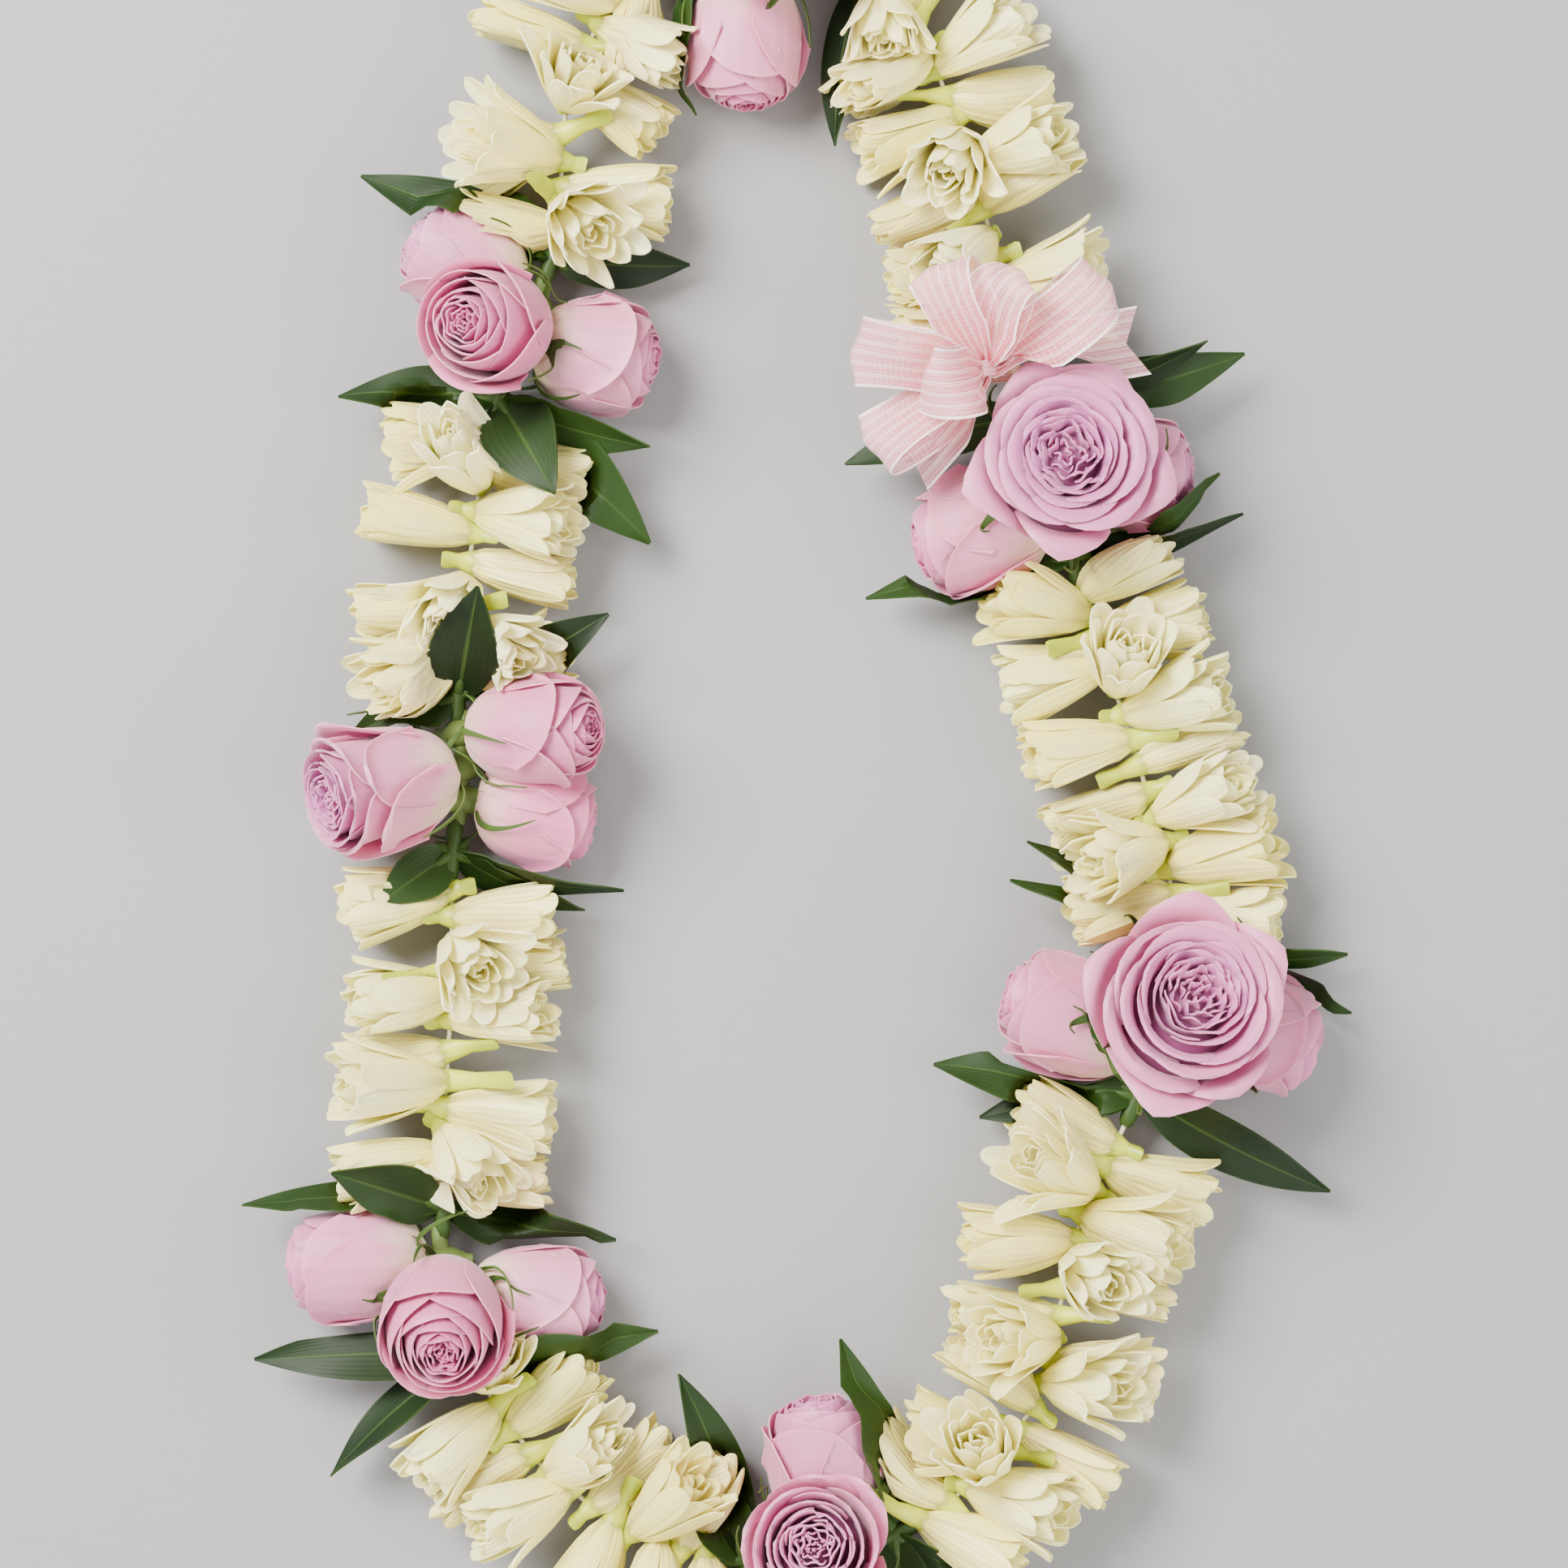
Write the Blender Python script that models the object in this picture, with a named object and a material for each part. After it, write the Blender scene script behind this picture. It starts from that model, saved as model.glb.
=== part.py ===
"""A closed flower garland, lying on a surface: double tuberoses, roses and leaves on one thread.

The thread runs round the whole loop. Seven groups of three roses, each between two
collars of leaves, are strung on it, with runs of tuberoses between them, and a ribbon
bow hides the knot that closes the thread. X is to the right, Y is to the top of the
loop and Z is up, away from the surface. Shapes are written in millimetres.
"""

import math

import bmesh
import bpy
import numpy as np
from mathutils import Matrix, Vector

MM = 0.001

# The thread, and the gap kept round every piece.
THREAD_RADIUS = 0.6
THREAD_HEIGHT = 13.2
THREAD_POINTS = 60
HOLE_RADIUS = 1.6
KNOT_RADIUS = 2.0
GAP = 0.4
UNION_SHARE = {"tuberose": 0.29, "rose": 0.47, "calyx": 0.34, "leaf": 0.46, "ribbon": 0.38}
CUT_SHARE = 0.9
SHARP_ANGLE = 40

# The thread's route in plan, round the loop from the top, down the left side.
ROUTE = [
    (-5, 216), (-33, 210), (-51, 194), (-58, 171), (-58, 146), (-67, 120), (-76, 94), (-81, 66),
    (-84, 41), (-85, 22), (-84, 4), (-87, -24), (-86, -49), (-88, -74), (-89, -100), (-88, -129),
    (-79, -156), (-62, -179), (-39, -195), (-16, -202), (8, -201), (32, -194), (55, -177),
    (68, -156), (72, -135), (78, -112), (88, -91), (99, -64), (102, -39), (99, -15), (92, 6),
    (86, 27), (78, 48), (71, 77), (61, 106), (56, 132), (52, 150), (45, 173), (36, 194), (20, 210),
]
ROUTE_STEPS = 32

# Where the origin lies in the plan above: under the middle of the finished garland.
MIDDLE = (3.0, 7.3)

# A tuberose: a tube on the thread that widens to an outer and an inner ring of petals.
PETALS = 5
TUBE_RADIUS = 2.7
BASE_RADIUS = 2.3
TAIL = 2.6
CORE_RADIUS = 3.2
CORE_SIDES = 6
CORE_OVERHANG = 2.4
CORE_STEP = 13
CORE_OVERLAP = 0.2
RUN_END = 6.0
PRESS = 9.0
PRESS_MARGIN = 0.25
LEAN = 0.2

# Each run of tuberoses is a list of bunches, and each bunch a list of flowers: station
# along the thread, aim in plan, rise above the surface, openness and reach, then the
# length of the tube behind the thread where it shows.
TUBEROSES = {
    "a": [
        [(26, 118, 15, 0.5, 30), (34, 268, 14, 0.5, 30, 14), (41, 152, 32, 0.5, 30),
         (48, 325, 22, 0.5, 30), (55, 184, 8, 0.5, 31)],
        [(63, 338, 8, 0.5, 29), (71, 60, 56, 0.9, 27), (79, 200, -2, 0.5, 29, 14), (86, 165, 22, 1.0, 32),
         (93, 352, 0, 0.5, 29), (98, 318, 52, 1.0, 27, 16), (104, 194, 4, 0.5, 29)],
    ],
    "b": [
        [(160, 176, 4, 0.5, 29), (168, 345, -4, 0.5, 29, 14), (174, 118, 50, 0.5, 27),
         (181, 350, 22, 0.5, 30), (187, 185, 6, 0.5, 32)],
        [(194, 5, 0, 0.5, 29), (200, 245, 56, 0.5, 27), (206, 188, 0, 0.5, 30, 12),
         (212, 332, 40, 0.6, 29), (218, 205, 26, 0.7, 31), (224, 2, -2, 0.5, 30)],
    ],
    "c": [
        [(280, 180, 8, 0.5, 30), (287, 358, 8, 0.5, 30), (294, 320, 56, 0.8, 27),
         (301, 8, 0, 0.5, 31, 18), (307, 186, 22, 0.5, 30), (314, 354, 22, 0.5, 30)],
        [(322, 184, -2, 0.5, 30, 14), (330, 182, 26, 0.7, 33, 20), (337, 352, 4, 0.5, 30, 12),
         (343, 312, 38, 0.6, 28), (349, 196, 10, 0.5, 30), (355, 350, -2, 0.5, 29)],
    ],
    "d": [
        [(410, 80, 50, 0.2, 25), (418, 222, 18, 0.5, 30, 14), (425, 40, 6, 0.5, 30),
         (433, 205, 0, 0.5, 30, 12), (440, 30, 34, 0.5, 30), (447, 210, 26, 0.5, 31, 14)],
        [(454, 50, 0, 0.5, 29), (461, 245, 8, 0.5, 31, 14), (467, 42, 30, 0.6, 32),
         (474, 262, 26, 0.6, 30), (480, 66, 0, 0.5, 29), (487, 285, 20, 0.5, 29)],
    ],
    "e": [
        [(545, 325, 14, 0.5, 31, 18), (553, 140, 0, 0.5, 29, 14), (560, 348, 30, 0.6, 31),
         (567, 112, 58, 0.7, 27), (574, 170, 6, 0.5, 30, 12), (580, 345, 0, 0.5, 30)],
        [(587, 148, 14, 0.5, 30), (594, 2, 38, 0.6, 30), (600, 345, 0, 0.5, 30), (606, 176, 44, 0.6, 28),
         (612, 172, 0, 0.5, 30, 14)],
        [(619, 352, 6, 0.5, 30, 12), (626, 335, 58, 0.5, 27), (632, 182, 8, 0.5, 31),
         (639, 342, 26, 0.5, 31), (646, 150, 38, 0.8, 31), (653, 335, 0, 0.5, 31, 12),
         (659, 148, 2, 0.6, 30)],
    ],
    "f": [
        [(720, 348, 12, 0.5, 30), (727, 190, 6, 0.5, 29, 14), (734, 18, 18, 0.7, 33),
         (741, 194, 34, 0.6, 30), (748, 25, 34, 0.7, 31), (755, 188, 2, 0.5, 30)],
        [(762, 10, 4, 0.5, 30, 12), (769, 192, 10, 0.5, 30, 12), (776, 16, 26, 0.5, 31),
         (783, 80, 56, 0.6, 27), (790, 194, 0, 0.5, 30, 14), (797, 12, 2, 0.5, 30, 14),
         (803, 166, 20, 0.6, 31), (809, 48, 14, 0.6, 29)],
    ],
    "g": [
        [(880, 350, -2, 0.5, 29), (886, 190, 2, 0.5, 31, 14), (893, 4, 16, 0.8, 31),
         (900, 196, 8, 0.5, 30), (906, 205, 42, 0.5, 28)],
        [(913, 36, 16, 0.7, 31, 12), (919, 212, -2, 0.5, 30, 12), (925, 18, 30, 0.6, 31),
         (932, 245, 56, 0.5, 27), (938, 198, 12, 0.8, 30), (944, 8, 0, 0.5, 29, 14)],
        [(951, 20, 24, 0.7, 31), (957, 215, 26, 0.5, 29), (964, 240, 4, 0.5, 30, 12),
         (970, 62, 12, 0.5, 30), (976, 260, 44, 0.5, 26)],
    ],
}

# Each group of roses: its station, then for its middle, outer and inner rose the
# offset along the thread, aim, rise, height, radius and openness.
ROSE_GROUPS = {
    "top": (0, [
        (0, 90, 80, 33, 18, 0.6), (-5.5, 92, 4, 34, 15.5, 0.2), (5.5, 270, 6, 35, 15.5, 0.15),
    ]),
    "left_high": (131, [
        (0, 190, 68, 31, 16.5, 0.45), (-6, 150, 6, 32, 14.5, 0.1), (6, 355, 7, 32, 15, 0.1),
    ]),
    "left_middle": (248, [
        (0, 193, 32, 38, 18.5, 0.75), (-9, 2, 30, 36, 14, 0.2), (8, 350, -2, 31, 14.5, 0.25),
    ]),
    "left_low": (382, [
        (0, 272, 68, 34, 17, 0.4), (-5, 183, 2, 36, 15.5, 0.2), (6, 2, 2, 35, 14.5, 0.15),
    ]),
    "bottom": (516, [
        (0, 92, 78, 33, 19, 0.65), (-5.5, 268, 4, 34, 15.5, 0.2), (5.5, 98, 6, 36, 16, 0.3),
    ]),
    "right_low": (693, [
        (0, 60, 76, 34, 26, 0.9), (5.5, 343, 3, 36, 15.5, 0.3), (-5.5, 162, 4, 38, 16, 0.25),
    ]),
    "right_high": (839, [
        (0, 60, 80, 34, 25, 1.0), (5.5, 356, 2, 33, 14.5, 0.15), (-5.5, 198, 2, 35, 16, 0.1),
    ]),
}
ROSE_PLACES = ("middle", "outer", "inner")

# A rose's rings, from its base to its heart, as shares of its radius and height: petals
# in the ring, their turn, (radius, height) of a bud, the same full open, ripple, scallop.
ROSE_BASE = 0.42
ROSE_RINGS = [
    (4, 0, (ROSE_BASE, 0), (ROSE_BASE, 0), 0, 0),
    (4, 0, (0.96, 0.24), (0.80, 0.24), 0.04, 0),
    (4, 0, (0.88, 0.72), (0.92, 0.82), 0.08, 0.07),
    (4, 0, (0.64, 0.66), (0.74, 0.62), 0.05, 0),
    (3, 0.4, (0.50, 0.88), (0.62, 0.84), 0.08, 0.05),
    (3, 0.4, (0.34, 0.80), (0.44, 0.66), 0.05, 0),
    (3, 0.8, (0.20, 0.97), (0.32, 0.88), 0.10, 0.03),
]
ROSE_HEART = (0.88, 0.70)

# Under each rose, a hip on the thread, whose shoulder carries five sepals.
HIP_RADIUS = 3.9
HIP_HALF = 4.2
SHOULDER_RADIUS = 3.5
SHOULDER_NOTCH = 3.1
SEPAL_THICKNESS = 1.0
STEM_RADIUS = 2.6
HEAD_START = 4.8
HEAD_GAP = 1.0
SEPAL_SHARE = 0.9
SEPAL_DROP = 0.7
SEPALS = 5
ROSE_COLUMNS = 12

# An open rose has smaller cups, inside petals that flare. A petal's rows are shares of
# the rose's radius and height, with half the angle it covers.
WIDE_OPEN = 0.6
CUP_SHARE = 0.86
LARGE_RADIUS = 22
LARGE_CUP_SHARE = 0.78
FLARED_PETALS = 5
FLARED_HEIGHT = 0.86
FLARED_TURN = 0.3
FLARED_ROWS = [(0.36, 0.06, 0.20), (0.74, 0.34, 0.52), (0.92, 0.70, 0.58), (1.08, 0.94, 0.34)]
PETAL_THICKNESS = 1.1
PETAL_LIFT = 0.4
PETAL_BOW = 0.05

# A plain outline that holds a rose: shares of its radius and height, from base to top.
BUD_WAISTS = (1.02, 0.86)
BUD_OUTLINE = [(1.02, 0.62), (0.99, 0.86), (0.50, 1.04)]
BLOOM_OUTLINE = [(0.80, 0.20), (1.0, 0.62), (1.16, 0.86), (0.50, 1.04)]

# Each collar of leaves: its station, then for each leaf its aim, rise, length, width,
# and how far the blade is rolled about its own length.
LEAF_COLLARS = {
    "top_a": (983, [(262, 2, 44, 15, 50), (74, 4, 46, 17, 20), (50, -8, 40, 15, 10)]),
    "top_b": (17, [(268, 6, 40, 14, 50), (103, 4, 46, 17, -20), (130, -8, 40, 15, 0)]),
    "left_high_a": (111, [(159, 6, 54, 16, 15), (140, 16, 34, 14, 40), (355, -6, 36, 14, 20)]),
    "left_high_b": (151, [
        (176, 4, 42, 15, 25), (302, 36, 36, 20, 0), (319, 2, 54, 20, 5), (344, 12, 42, 14, 40),
    ]),
    "left_middle_a": (229, [(76, 40, 36, 19, 0), (27, 14, 46, 16, 15), (200, 4, 30, 14, 20)]),
    "left_middle_b": (270, [(345, 2, 46, 13, 60), (335, -8, 38, 13, 50), (215, 22, 24, 14, 0)]),
    "left_low_a": (363, [(180, 6, 52, 14, 45), (156, 32, 34, 16, 0), (352, 4, 46, 15, 30)]),
    "left_low_b": (402, [(183, 0, 56, 15, 25), (222, 2, 48, 14, 50), (10, 6, 50, 17, 15)]),
    "bottom_a": (497, [(107, 4, 52, 15, 35), (122, 14, 36, 16, 20), (262, 4, 42, 16, 10)]),
    "bottom_b": (536, [(102, 8, 54, 17, 20), (336, 2, 38, 13, 55), (282, 4, 42, 16, 10)]),
    "right_low_a": (673, [(169, 2, 54, 18, 10), (186, -8, 42, 14, 30), (334, 2, 56, 16, 30)]),
    "right_low_b": (712, [
        (156, 4, 47, 13, 60), (142, 14, 50, 12, 60), (357, 2, 45, 14, 50), (338, -6, 50, 15, 35),
    ]),
    "right_high_a": (819, [(192, 0, 55, 15, 30), (14, 2, 46, 12, 62), (28, 12, 44, 12, 62)]),
    "right_high_b": (858, [(195, 2, 50, 15, 25), (13, 4, 58, 17, 15), (22, 14, 50, 13, 50)]),
}
LEAF_THICKNESS = 0.8
LEAF_ROWS = [(0.0, 0.07), (0.34, 0.46), (0.70, 0.40)]
LEAF_FOLD = 0.16
LEAF_ARCH = 0.05
LEAF_DROOP = 0.02
LEAF_STEP = 0.3
HUB_RADIUS = 4.2
HUB_HALF = 1.8
HUB_SIDES = 6

# The bow: its station and height, then each loop's aim, rise, length and spread.
BOW_STATION = 870
BOW_INWARD = 9.0
BOW_HEIGHT = 42.0
BOW_KNOT_RADIUS = 4.0
RIBBON_WIDTH = 18.0
RIBBON_NECK = 3.0
RIBBON_THICKNESS = 0.8
TIE_WIDTH = 4.0
TIE_THICKNESS = 1.0
TIE_SPREAD = 1.2
LOOP_STEPS = 8
LOOP_SPREADING = 1.5
TAIL_SHARES = (0.06, 0.3, 0.65, 1)
TAIL_SPREADING = 1.6
BOW_LOOPS = [
    (172, 8, 35, 7), (214, -6, 36, 6), (116, 14, 30, 7), (72, 28, 28, 7), (38, 8, 38, 7), (196, 44, 22, 7),
]
TAIL_DROP = 6.0
BOW_TAILS = [(12, -4, 40), (228, -10, 32)]

# The surface below, and the finishes.
FLOOR_SIZE = (700, 700, 60)
COLOURS = {
    "thread": (0.86, 0.83, 0.72, 1),
    "tuberose": (0.93, 0.88, 0.68, 1),
    "rose": (0.78, 0.50, 0.62, 1),
    "calyx": (0.24, 0.33, 0.12, 1),
    "leaf": (0.05, 0.14, 0.03, 1),
    "ribbon": (0.90, 0.60, 0.66, 1),
}
ROUGHNESS = {"thread": 0.9, "tuberose": 0.5, "rose": 0.6, "calyx": 0.5, "leaf": 0.35, "ribbon": 0.4}


def clear_scene():
    for thing in list(bpy.data.objects):
        bpy.data.objects.remove(thing)


def materials():
    made = {}
    for name, colour in COLOURS.items():
        made[name] = bpy.data.materials.new(name)
        made[name].use_nodes = True
        shader = made[name].node_tree.nodes["Principled BSDF"]
        shader.inputs["Base Color"].default_value = colour
        shader.inputs["Roughness"].default_value = ROUGHNESS[name]
        shader.inputs["Metallic"].default_value = 0.0
    return made


# The thread's route


def smooth_route():
    """The route as a closed smooth curve: its points, and their distance along it."""
    corners = np.array(ROUTE, float) - np.array(MIDDLE)
    before, after, beyond = (np.roll(corners, turn, axis=0) for turn in (1, -1, -2))
    slope, fall = after - before, 2 * before - 5 * corners + 4 * after - beyond
    swing = 3 * corners - before - 3 * after + beyond
    shares = np.arange(ROUTE_STEPS)[None, :, None] / ROUTE_STEPS
    terms = (2 * corners, slope, fall, swing)
    points = sum(term[:, None] * shares**power for power, term in enumerate(terms)) / 2
    points = np.concatenate([points.reshape(-1, 2), points[0, :1]])
    steps = np.linalg.norm(np.diff(points, axis=0), axis=1)
    return points, np.concatenate([[0], np.cumsum(steps)])


ROUTE_POINTS, ROUTE_ARCS = smooth_route()
ROUTE_LENGTH = ROUTE_ARCS[-1]


def thread_at(station):
    """The thread's centre at a distance along it."""
    along = station % ROUTE_LENGTH
    x, y = (np.interp(along, ROUTE_ARCS, ROUTE_POINTS[:, axis]) for axis in (0, 1))
    return Vector((x, y, THREAD_HEIGHT))


def travel_at(station):
    """The thread's direction there."""
    return (thread_at(station + 1) - thread_at(station - 1)).normalized()


def pointing(aim, rise):
    """The unit direction at an angle in plan and a rise, in degrees."""
    a, e = math.radians(aim), math.radians(rise)
    return Vector((math.cos(a) * math.cos(e), math.sin(a) * math.cos(e), math.sin(e)))


def standing_frame(place, axis, roll=0.0):
    """A matrix that takes local +Z to axis and local +X upwards, then turns it by roll."""
    up = Vector((0, 0, 1))
    side = axis.cross(up)
    if side.length < 0.05:
        side = Vector((0, 1, 0))
    side.normalize()
    top = side.cross(axis).normalized()
    frame = Matrix((top, axis.cross(top), axis)).transposed().to_4x4()
    return Matrix.Translation(place) @ frame @ Matrix.Rotation(math.radians(roll), 4, "Z")


# Closed surfaces


def ring(bm, corners):
    return [bm.verts.new(Vector(corner)) for corner in corners]


def circle(count, radius, height, turn=0.0):
    angles = [math.tau * (k + turn) / count for k in range(count)]
    return [(radius * math.cos(a), radius * math.sin(a), height) for a in angles]


def band(bm, lower, upper):
    """Triangles between two rings, where the upper one may have twice the corners."""
    many = len(upper)
    share = many // len(lower)
    for k in range(many):
        a, b = lower[k // share], lower[((k + 1) // share) % len(lower)]
        c, d = upper[(k + 1) % many], upper[k]
        if a is not b:
            bm.faces.new((a, b, c))
        bm.faces.new((a, c, d))


def close_ring(bm, corners, middle=None):
    """Closes a ring, with a flat face or with a fan to a middle point."""
    if middle is None:
        bm.faces.new(corners[::-1])
        return
    centre = bm.verts.new(Vector(middle))
    for a, b in zip(corners, corners[1:] + corners[:1]):
        bm.faces.new((a, b, centre))


def finished(bm, name, matrix=None):
    """The shape as a triangulated mesh object, its place in its mesh."""
    if matrix is not None:
        bmesh.ops.transform(bm, matrix=matrix, verts=bm.verts)
    bmesh.ops.recalc_face_normals(bm, faces=bm.faces)
    bmesh.ops.triangulate(bm, faces=bm.faces)
    bmesh.ops.scale(bm, vec=(MM, MM, MM), verts=bm.verts)
    mesh = bpy.data.meshes.new(name)
    bm.to_mesh(mesh)
    bm.free()
    thing = bpy.data.objects.new(name, mesh)
    bpy.context.scene.collection.objects.link(thing)
    return thing


# Booleans


def combined(base, others, operation):
    """base joined with, or cut by, each of the others, which are then removed."""
    for other in others:
        step = base.modifiers.new(operation, "BOOLEAN")
        step.operation = operation
        step.object = other
        step.solver = "MANIFOLD"
        graph = bpy.context.evaluated_depsgraph_get()
        result = bpy.data.meshes.new_from_object(base.evaluated_get(graph))
        base.modifiers.clear()
        base.data = result
        bpy.data.objects.remove(other)
    return base


def lighter(thing, share):
    """The same shape with fewer triangles: the least change goes first."""
    step = thing.modifiers.new("lighter", "DECIMATE")
    step.ratio = share
    step.use_collapse_triangulate = True
    graph = bpy.context.evaluated_depsgraph_get()
    result = bpy.data.meshes.new_from_object(thing.evaluated_get(graph))
    thing.modifiers.clear()
    thing.data = result
    return thing


def grown(thing, gap):
    """A copy of a shape whose surface lies a gap further out."""
    copy = bpy.data.objects.new("cutter", thing.data.copy())
    bpy.context.scene.collection.objects.link(copy)
    normals = [vertex.normal.copy() for vertex in copy.data.vertices]
    for vertex, normal in zip(copy.data.vertices, normals):
        vertex.co += normal * gap * MM
    return copy


def largest_body(thing):
    """Drops loose scraps and the walls of sealed hollows."""
    bm = bmesh.new()
    bm.from_mesh(thing.data)
    bodies, seen = [], set()
    for start in bm.verts:
        if start in seen:
            continue
        body, edge = {start}, [start]
        while edge:
            vertex = edge.pop()
            for link in vertex.link_edges:
                other = link.other_vert(vertex)
                if other not in body:
                    body.add(other)
                    edge.append(other)
        seen |= body
        bodies.append(body)
    most = max(bodies, key=len)
    bmesh.ops.delete(bm, geom=[v for v in bm.verts if v not in most], context="VERTS")
    bmesh.ops.triangulate(bm, faces=bm.faces)
    bm.to_mesh(thing.data)
    bm.free()
    return thing


# The thread


def thread_tube(radius, name, rounding):
    """A closed tube round the whole loop."""
    curve = bpy.data.curves.new(name, "CURVE")
    curve.dimensions = "3D"
    curve.bevel_depth = radius * MM
    curve.bevel_resolution = rounding
    line = curve.splines.new("POLY")
    line.points.add(THREAD_POINTS - 1)
    line.use_cyclic_u = True
    for k, point in enumerate(line.points):
        point.co = (*(thread_at(k * ROUTE_LENGTH / THREAD_POINTS) * MM), 1)
    tube = bpy.data.objects.new(name, curve)
    bpy.context.scene.collection.objects.link(tube)
    graph = bpy.context.evaluated_depsgraph_get()
    mesh = bpy.data.meshes.new_from_object(tube.evaluated_get(graph))
    bpy.data.objects.remove(tube)
    thing = bpy.data.objects.new(name, mesh)
    bpy.context.scene.collection.objects.link(thing)
    return thing


def knot(radius):
    bm = bmesh.new()
    bmesh.ops.create_icosphere(bm, subdivisions=1, radius=radius)
    return finished(bm, "knot", Matrix.Translation(thread_at(BOW_STATION)))


def short_tube(start, end, radius, sides, name):
    """A straight prism between two stations of the thread."""
    a, b = thread_at(start), thread_at(end)
    bm = bmesh.new()
    lower = ring(bm, circle(sides, radius, 0))
    upper = ring(bm, circle(sides, radius, (b - a).length))
    close_ring(bm, lower)
    band(bm, lower, upper)
    close_ring(bm, upper[::-1])
    return finished(bm, name, standing_frame(a, (b - a).normalized()))


# The flowers and leaves


def tuberose(lean, station, aim, rise, openness, reach, tail=TAIL):
    """One flower on the thread: an outer and an inner ring of petals on a tube."""
    bm = bmesh.new()
    wide, notch = 7.6 + 3.0 * openness, 6.4 + 2.4 * openness
    tip, tip_height = 5.6 + 11 * openness, reach * (1.02 - 0.16 * openness)

    def star(at_petals, petal_height, between, between_height):
        corners = []
        for k in range(PETALS):
            for radius, height, turn in ((at_petals, petal_height, 0), (between, between_height, 0.5)):
                angle = math.tau * (k + turn) / PETALS
                corners.append((radius * math.cos(angle), radius * math.sin(angle), height))
        return ring(bm, corners)

    base = ring(bm, circle(PETALS, BASE_RADIUS, -tail))
    neck = ring(bm, circle(PETALS, TUBE_RADIUS, 3)) if tail > TAIL else base
    belly = star(wide, 0.42 * reach, notch, 0.34 * reach)
    tips = star(tip, tip_height, notch + 0.8, 0.74 * reach)
    inner = ring(bm, circle(PETALS, 0.42 * tip + 2.2, 0.96 * reach, 0.5))
    close_ring(bm, base)
    if neck is not base:
        band(bm, base, neck)
    band(bm, neck, belly)
    band(bm, belly, tips)
    for k in range(PETALS):
        before, after = inner[k - 1], inner[k]
        bm.faces.new((tips[2 * k - 1], tips[2 * k], before))
        bm.faces.new((tips[2 * k], after, before))
        bm.faces.new((tips[2 * k], tips[2 * k + 1], after))
    close_ring(bm, inner, (0, 0, (0.86 - 0.1 * openness) * reach))
    axis = (pointing(aim, rise) + travel_at(station) * lean).normalized()
    return finished(bm, "flower", standing_frame(thread_at(station), axis, 37 * station))


def petal_ring(bm, petals, radius, height, ripple, scallop, turn=0.0):
    """A ring whose petals overlap like tiles, with rounded tops."""
    corners = []
    for k in range(ROSE_COLUMNS):
        angle = math.tau * (k + turn) / ROSE_COLUMNS
        share = (k * petals / ROSE_COLUMNS) % 1
        wide = radius * (1 + ripple * (1 - 2.4 * share))
        tall = height + scallop * math.sin(math.pi * (share + 0.5 * petals / ROSE_COLUMNS))
        corners.append((wide * math.cos(angle), wide * math.sin(angle), tall))
    return ring(bm, corners)


def between(bud, bloom, openness):
    return bud + (bloom - bud) * openness


def cup_size(radius, openness):
    """The radius of a rose's cups: its flared petals stand out beyond them."""
    if openness < WIDE_OPEN:
        return radius
    return radius * (CUP_SHARE if radius < LARGE_RADIUS else LARGE_CUP_SHARE)


def rose_cups(height, radius, openness):
    """Three cups of petals, one inside the other, as one body."""
    bm = bmesh.new()
    rings = []
    for petals, turn, bud, bloom, ripple, scallop in ROSE_RINGS:
        wide, tall = (between(*pair, openness) for pair in zip(bud, bloom))
        rings.append(petal_ring(bm, petals, wide * radius, tall * height, ripple, scallop * height, turn))
    close_ring(bm, rings[0])
    for lower, upper in zip(rings, rings[1:]):
        band(bm, lower, upper)
    close_ring(bm, rings[-1], (0, 0, between(*ROSE_HEART, openness) * height))
    return bm


def flared_petal(bm, turn, height, radius):
    """One outer petal: a blade that leaves the cups and rolls outwards at its rim."""
    faces = []
    for side in (0, 1):
        grid = []
        for out, up, half in FLARED_ROWS:
            line = []
            for across in (-1, 0, 1):
                angle = math.tau * turn + across * half
                reach = radius * out * (1 - PETAL_BOW * abs(across)) - side * PETAL_THICKNESS
                place = (reach * math.cos(angle), reach * math.sin(angle), height * up + side * PETAL_LIFT)
                line.append(place)
            grid.append(ring(bm, line))
        faces.append(grid)
    outer, inner = faces
    for a, b in zip(range(3), range(1, 4)):
        for c, d in ((0, 1), (1, 2)):
            for grid in (outer, inner):
                bm.faces.new((grid[a][c], grid[a][d], grid[b][d]))
                bm.faces.new((grid[a][c], grid[b][d], grid[b][c]))
    rim = [(0, 0), (0, 1), (0, 2), (1, 2), (2, 2), (3, 2), (3, 1), (3, 0), (2, 0), (1, 0)]
    for (a, b), (c, d) in zip(rim, rim[1:] + rim[:1]):
        bm.faces.new((outer[a][b], outer[c][d], inner[c][d], inner[a][b]))


def rose_frame(station, aim, rise):
    axis = pointing(aim, rise)
    return standing_frame(thread_at(station) + axis * (HEAD_START + HEAD_GAP), axis, 53 * station)


def rose(station, aim, rise, height, radius, openness):
    """The petals of one rose, as a list of pieces to be joined."""
    frame = rose_frame(station, aim, rise)
    pieces = [finished(rose_cups(height, cup_size(radius, openness), openness), "cups", frame)]
    if openness >= WIDE_OPEN:
        for k in range(FLARED_PETALS):
            bm = bmesh.new()
            flared_petal(bm, (k + FLARED_TURN) / FLARED_PETALS, height * FLARED_HEIGHT, radius)
            pieces.append(finished(bm, "petal", frame))
    return pieces


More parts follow.
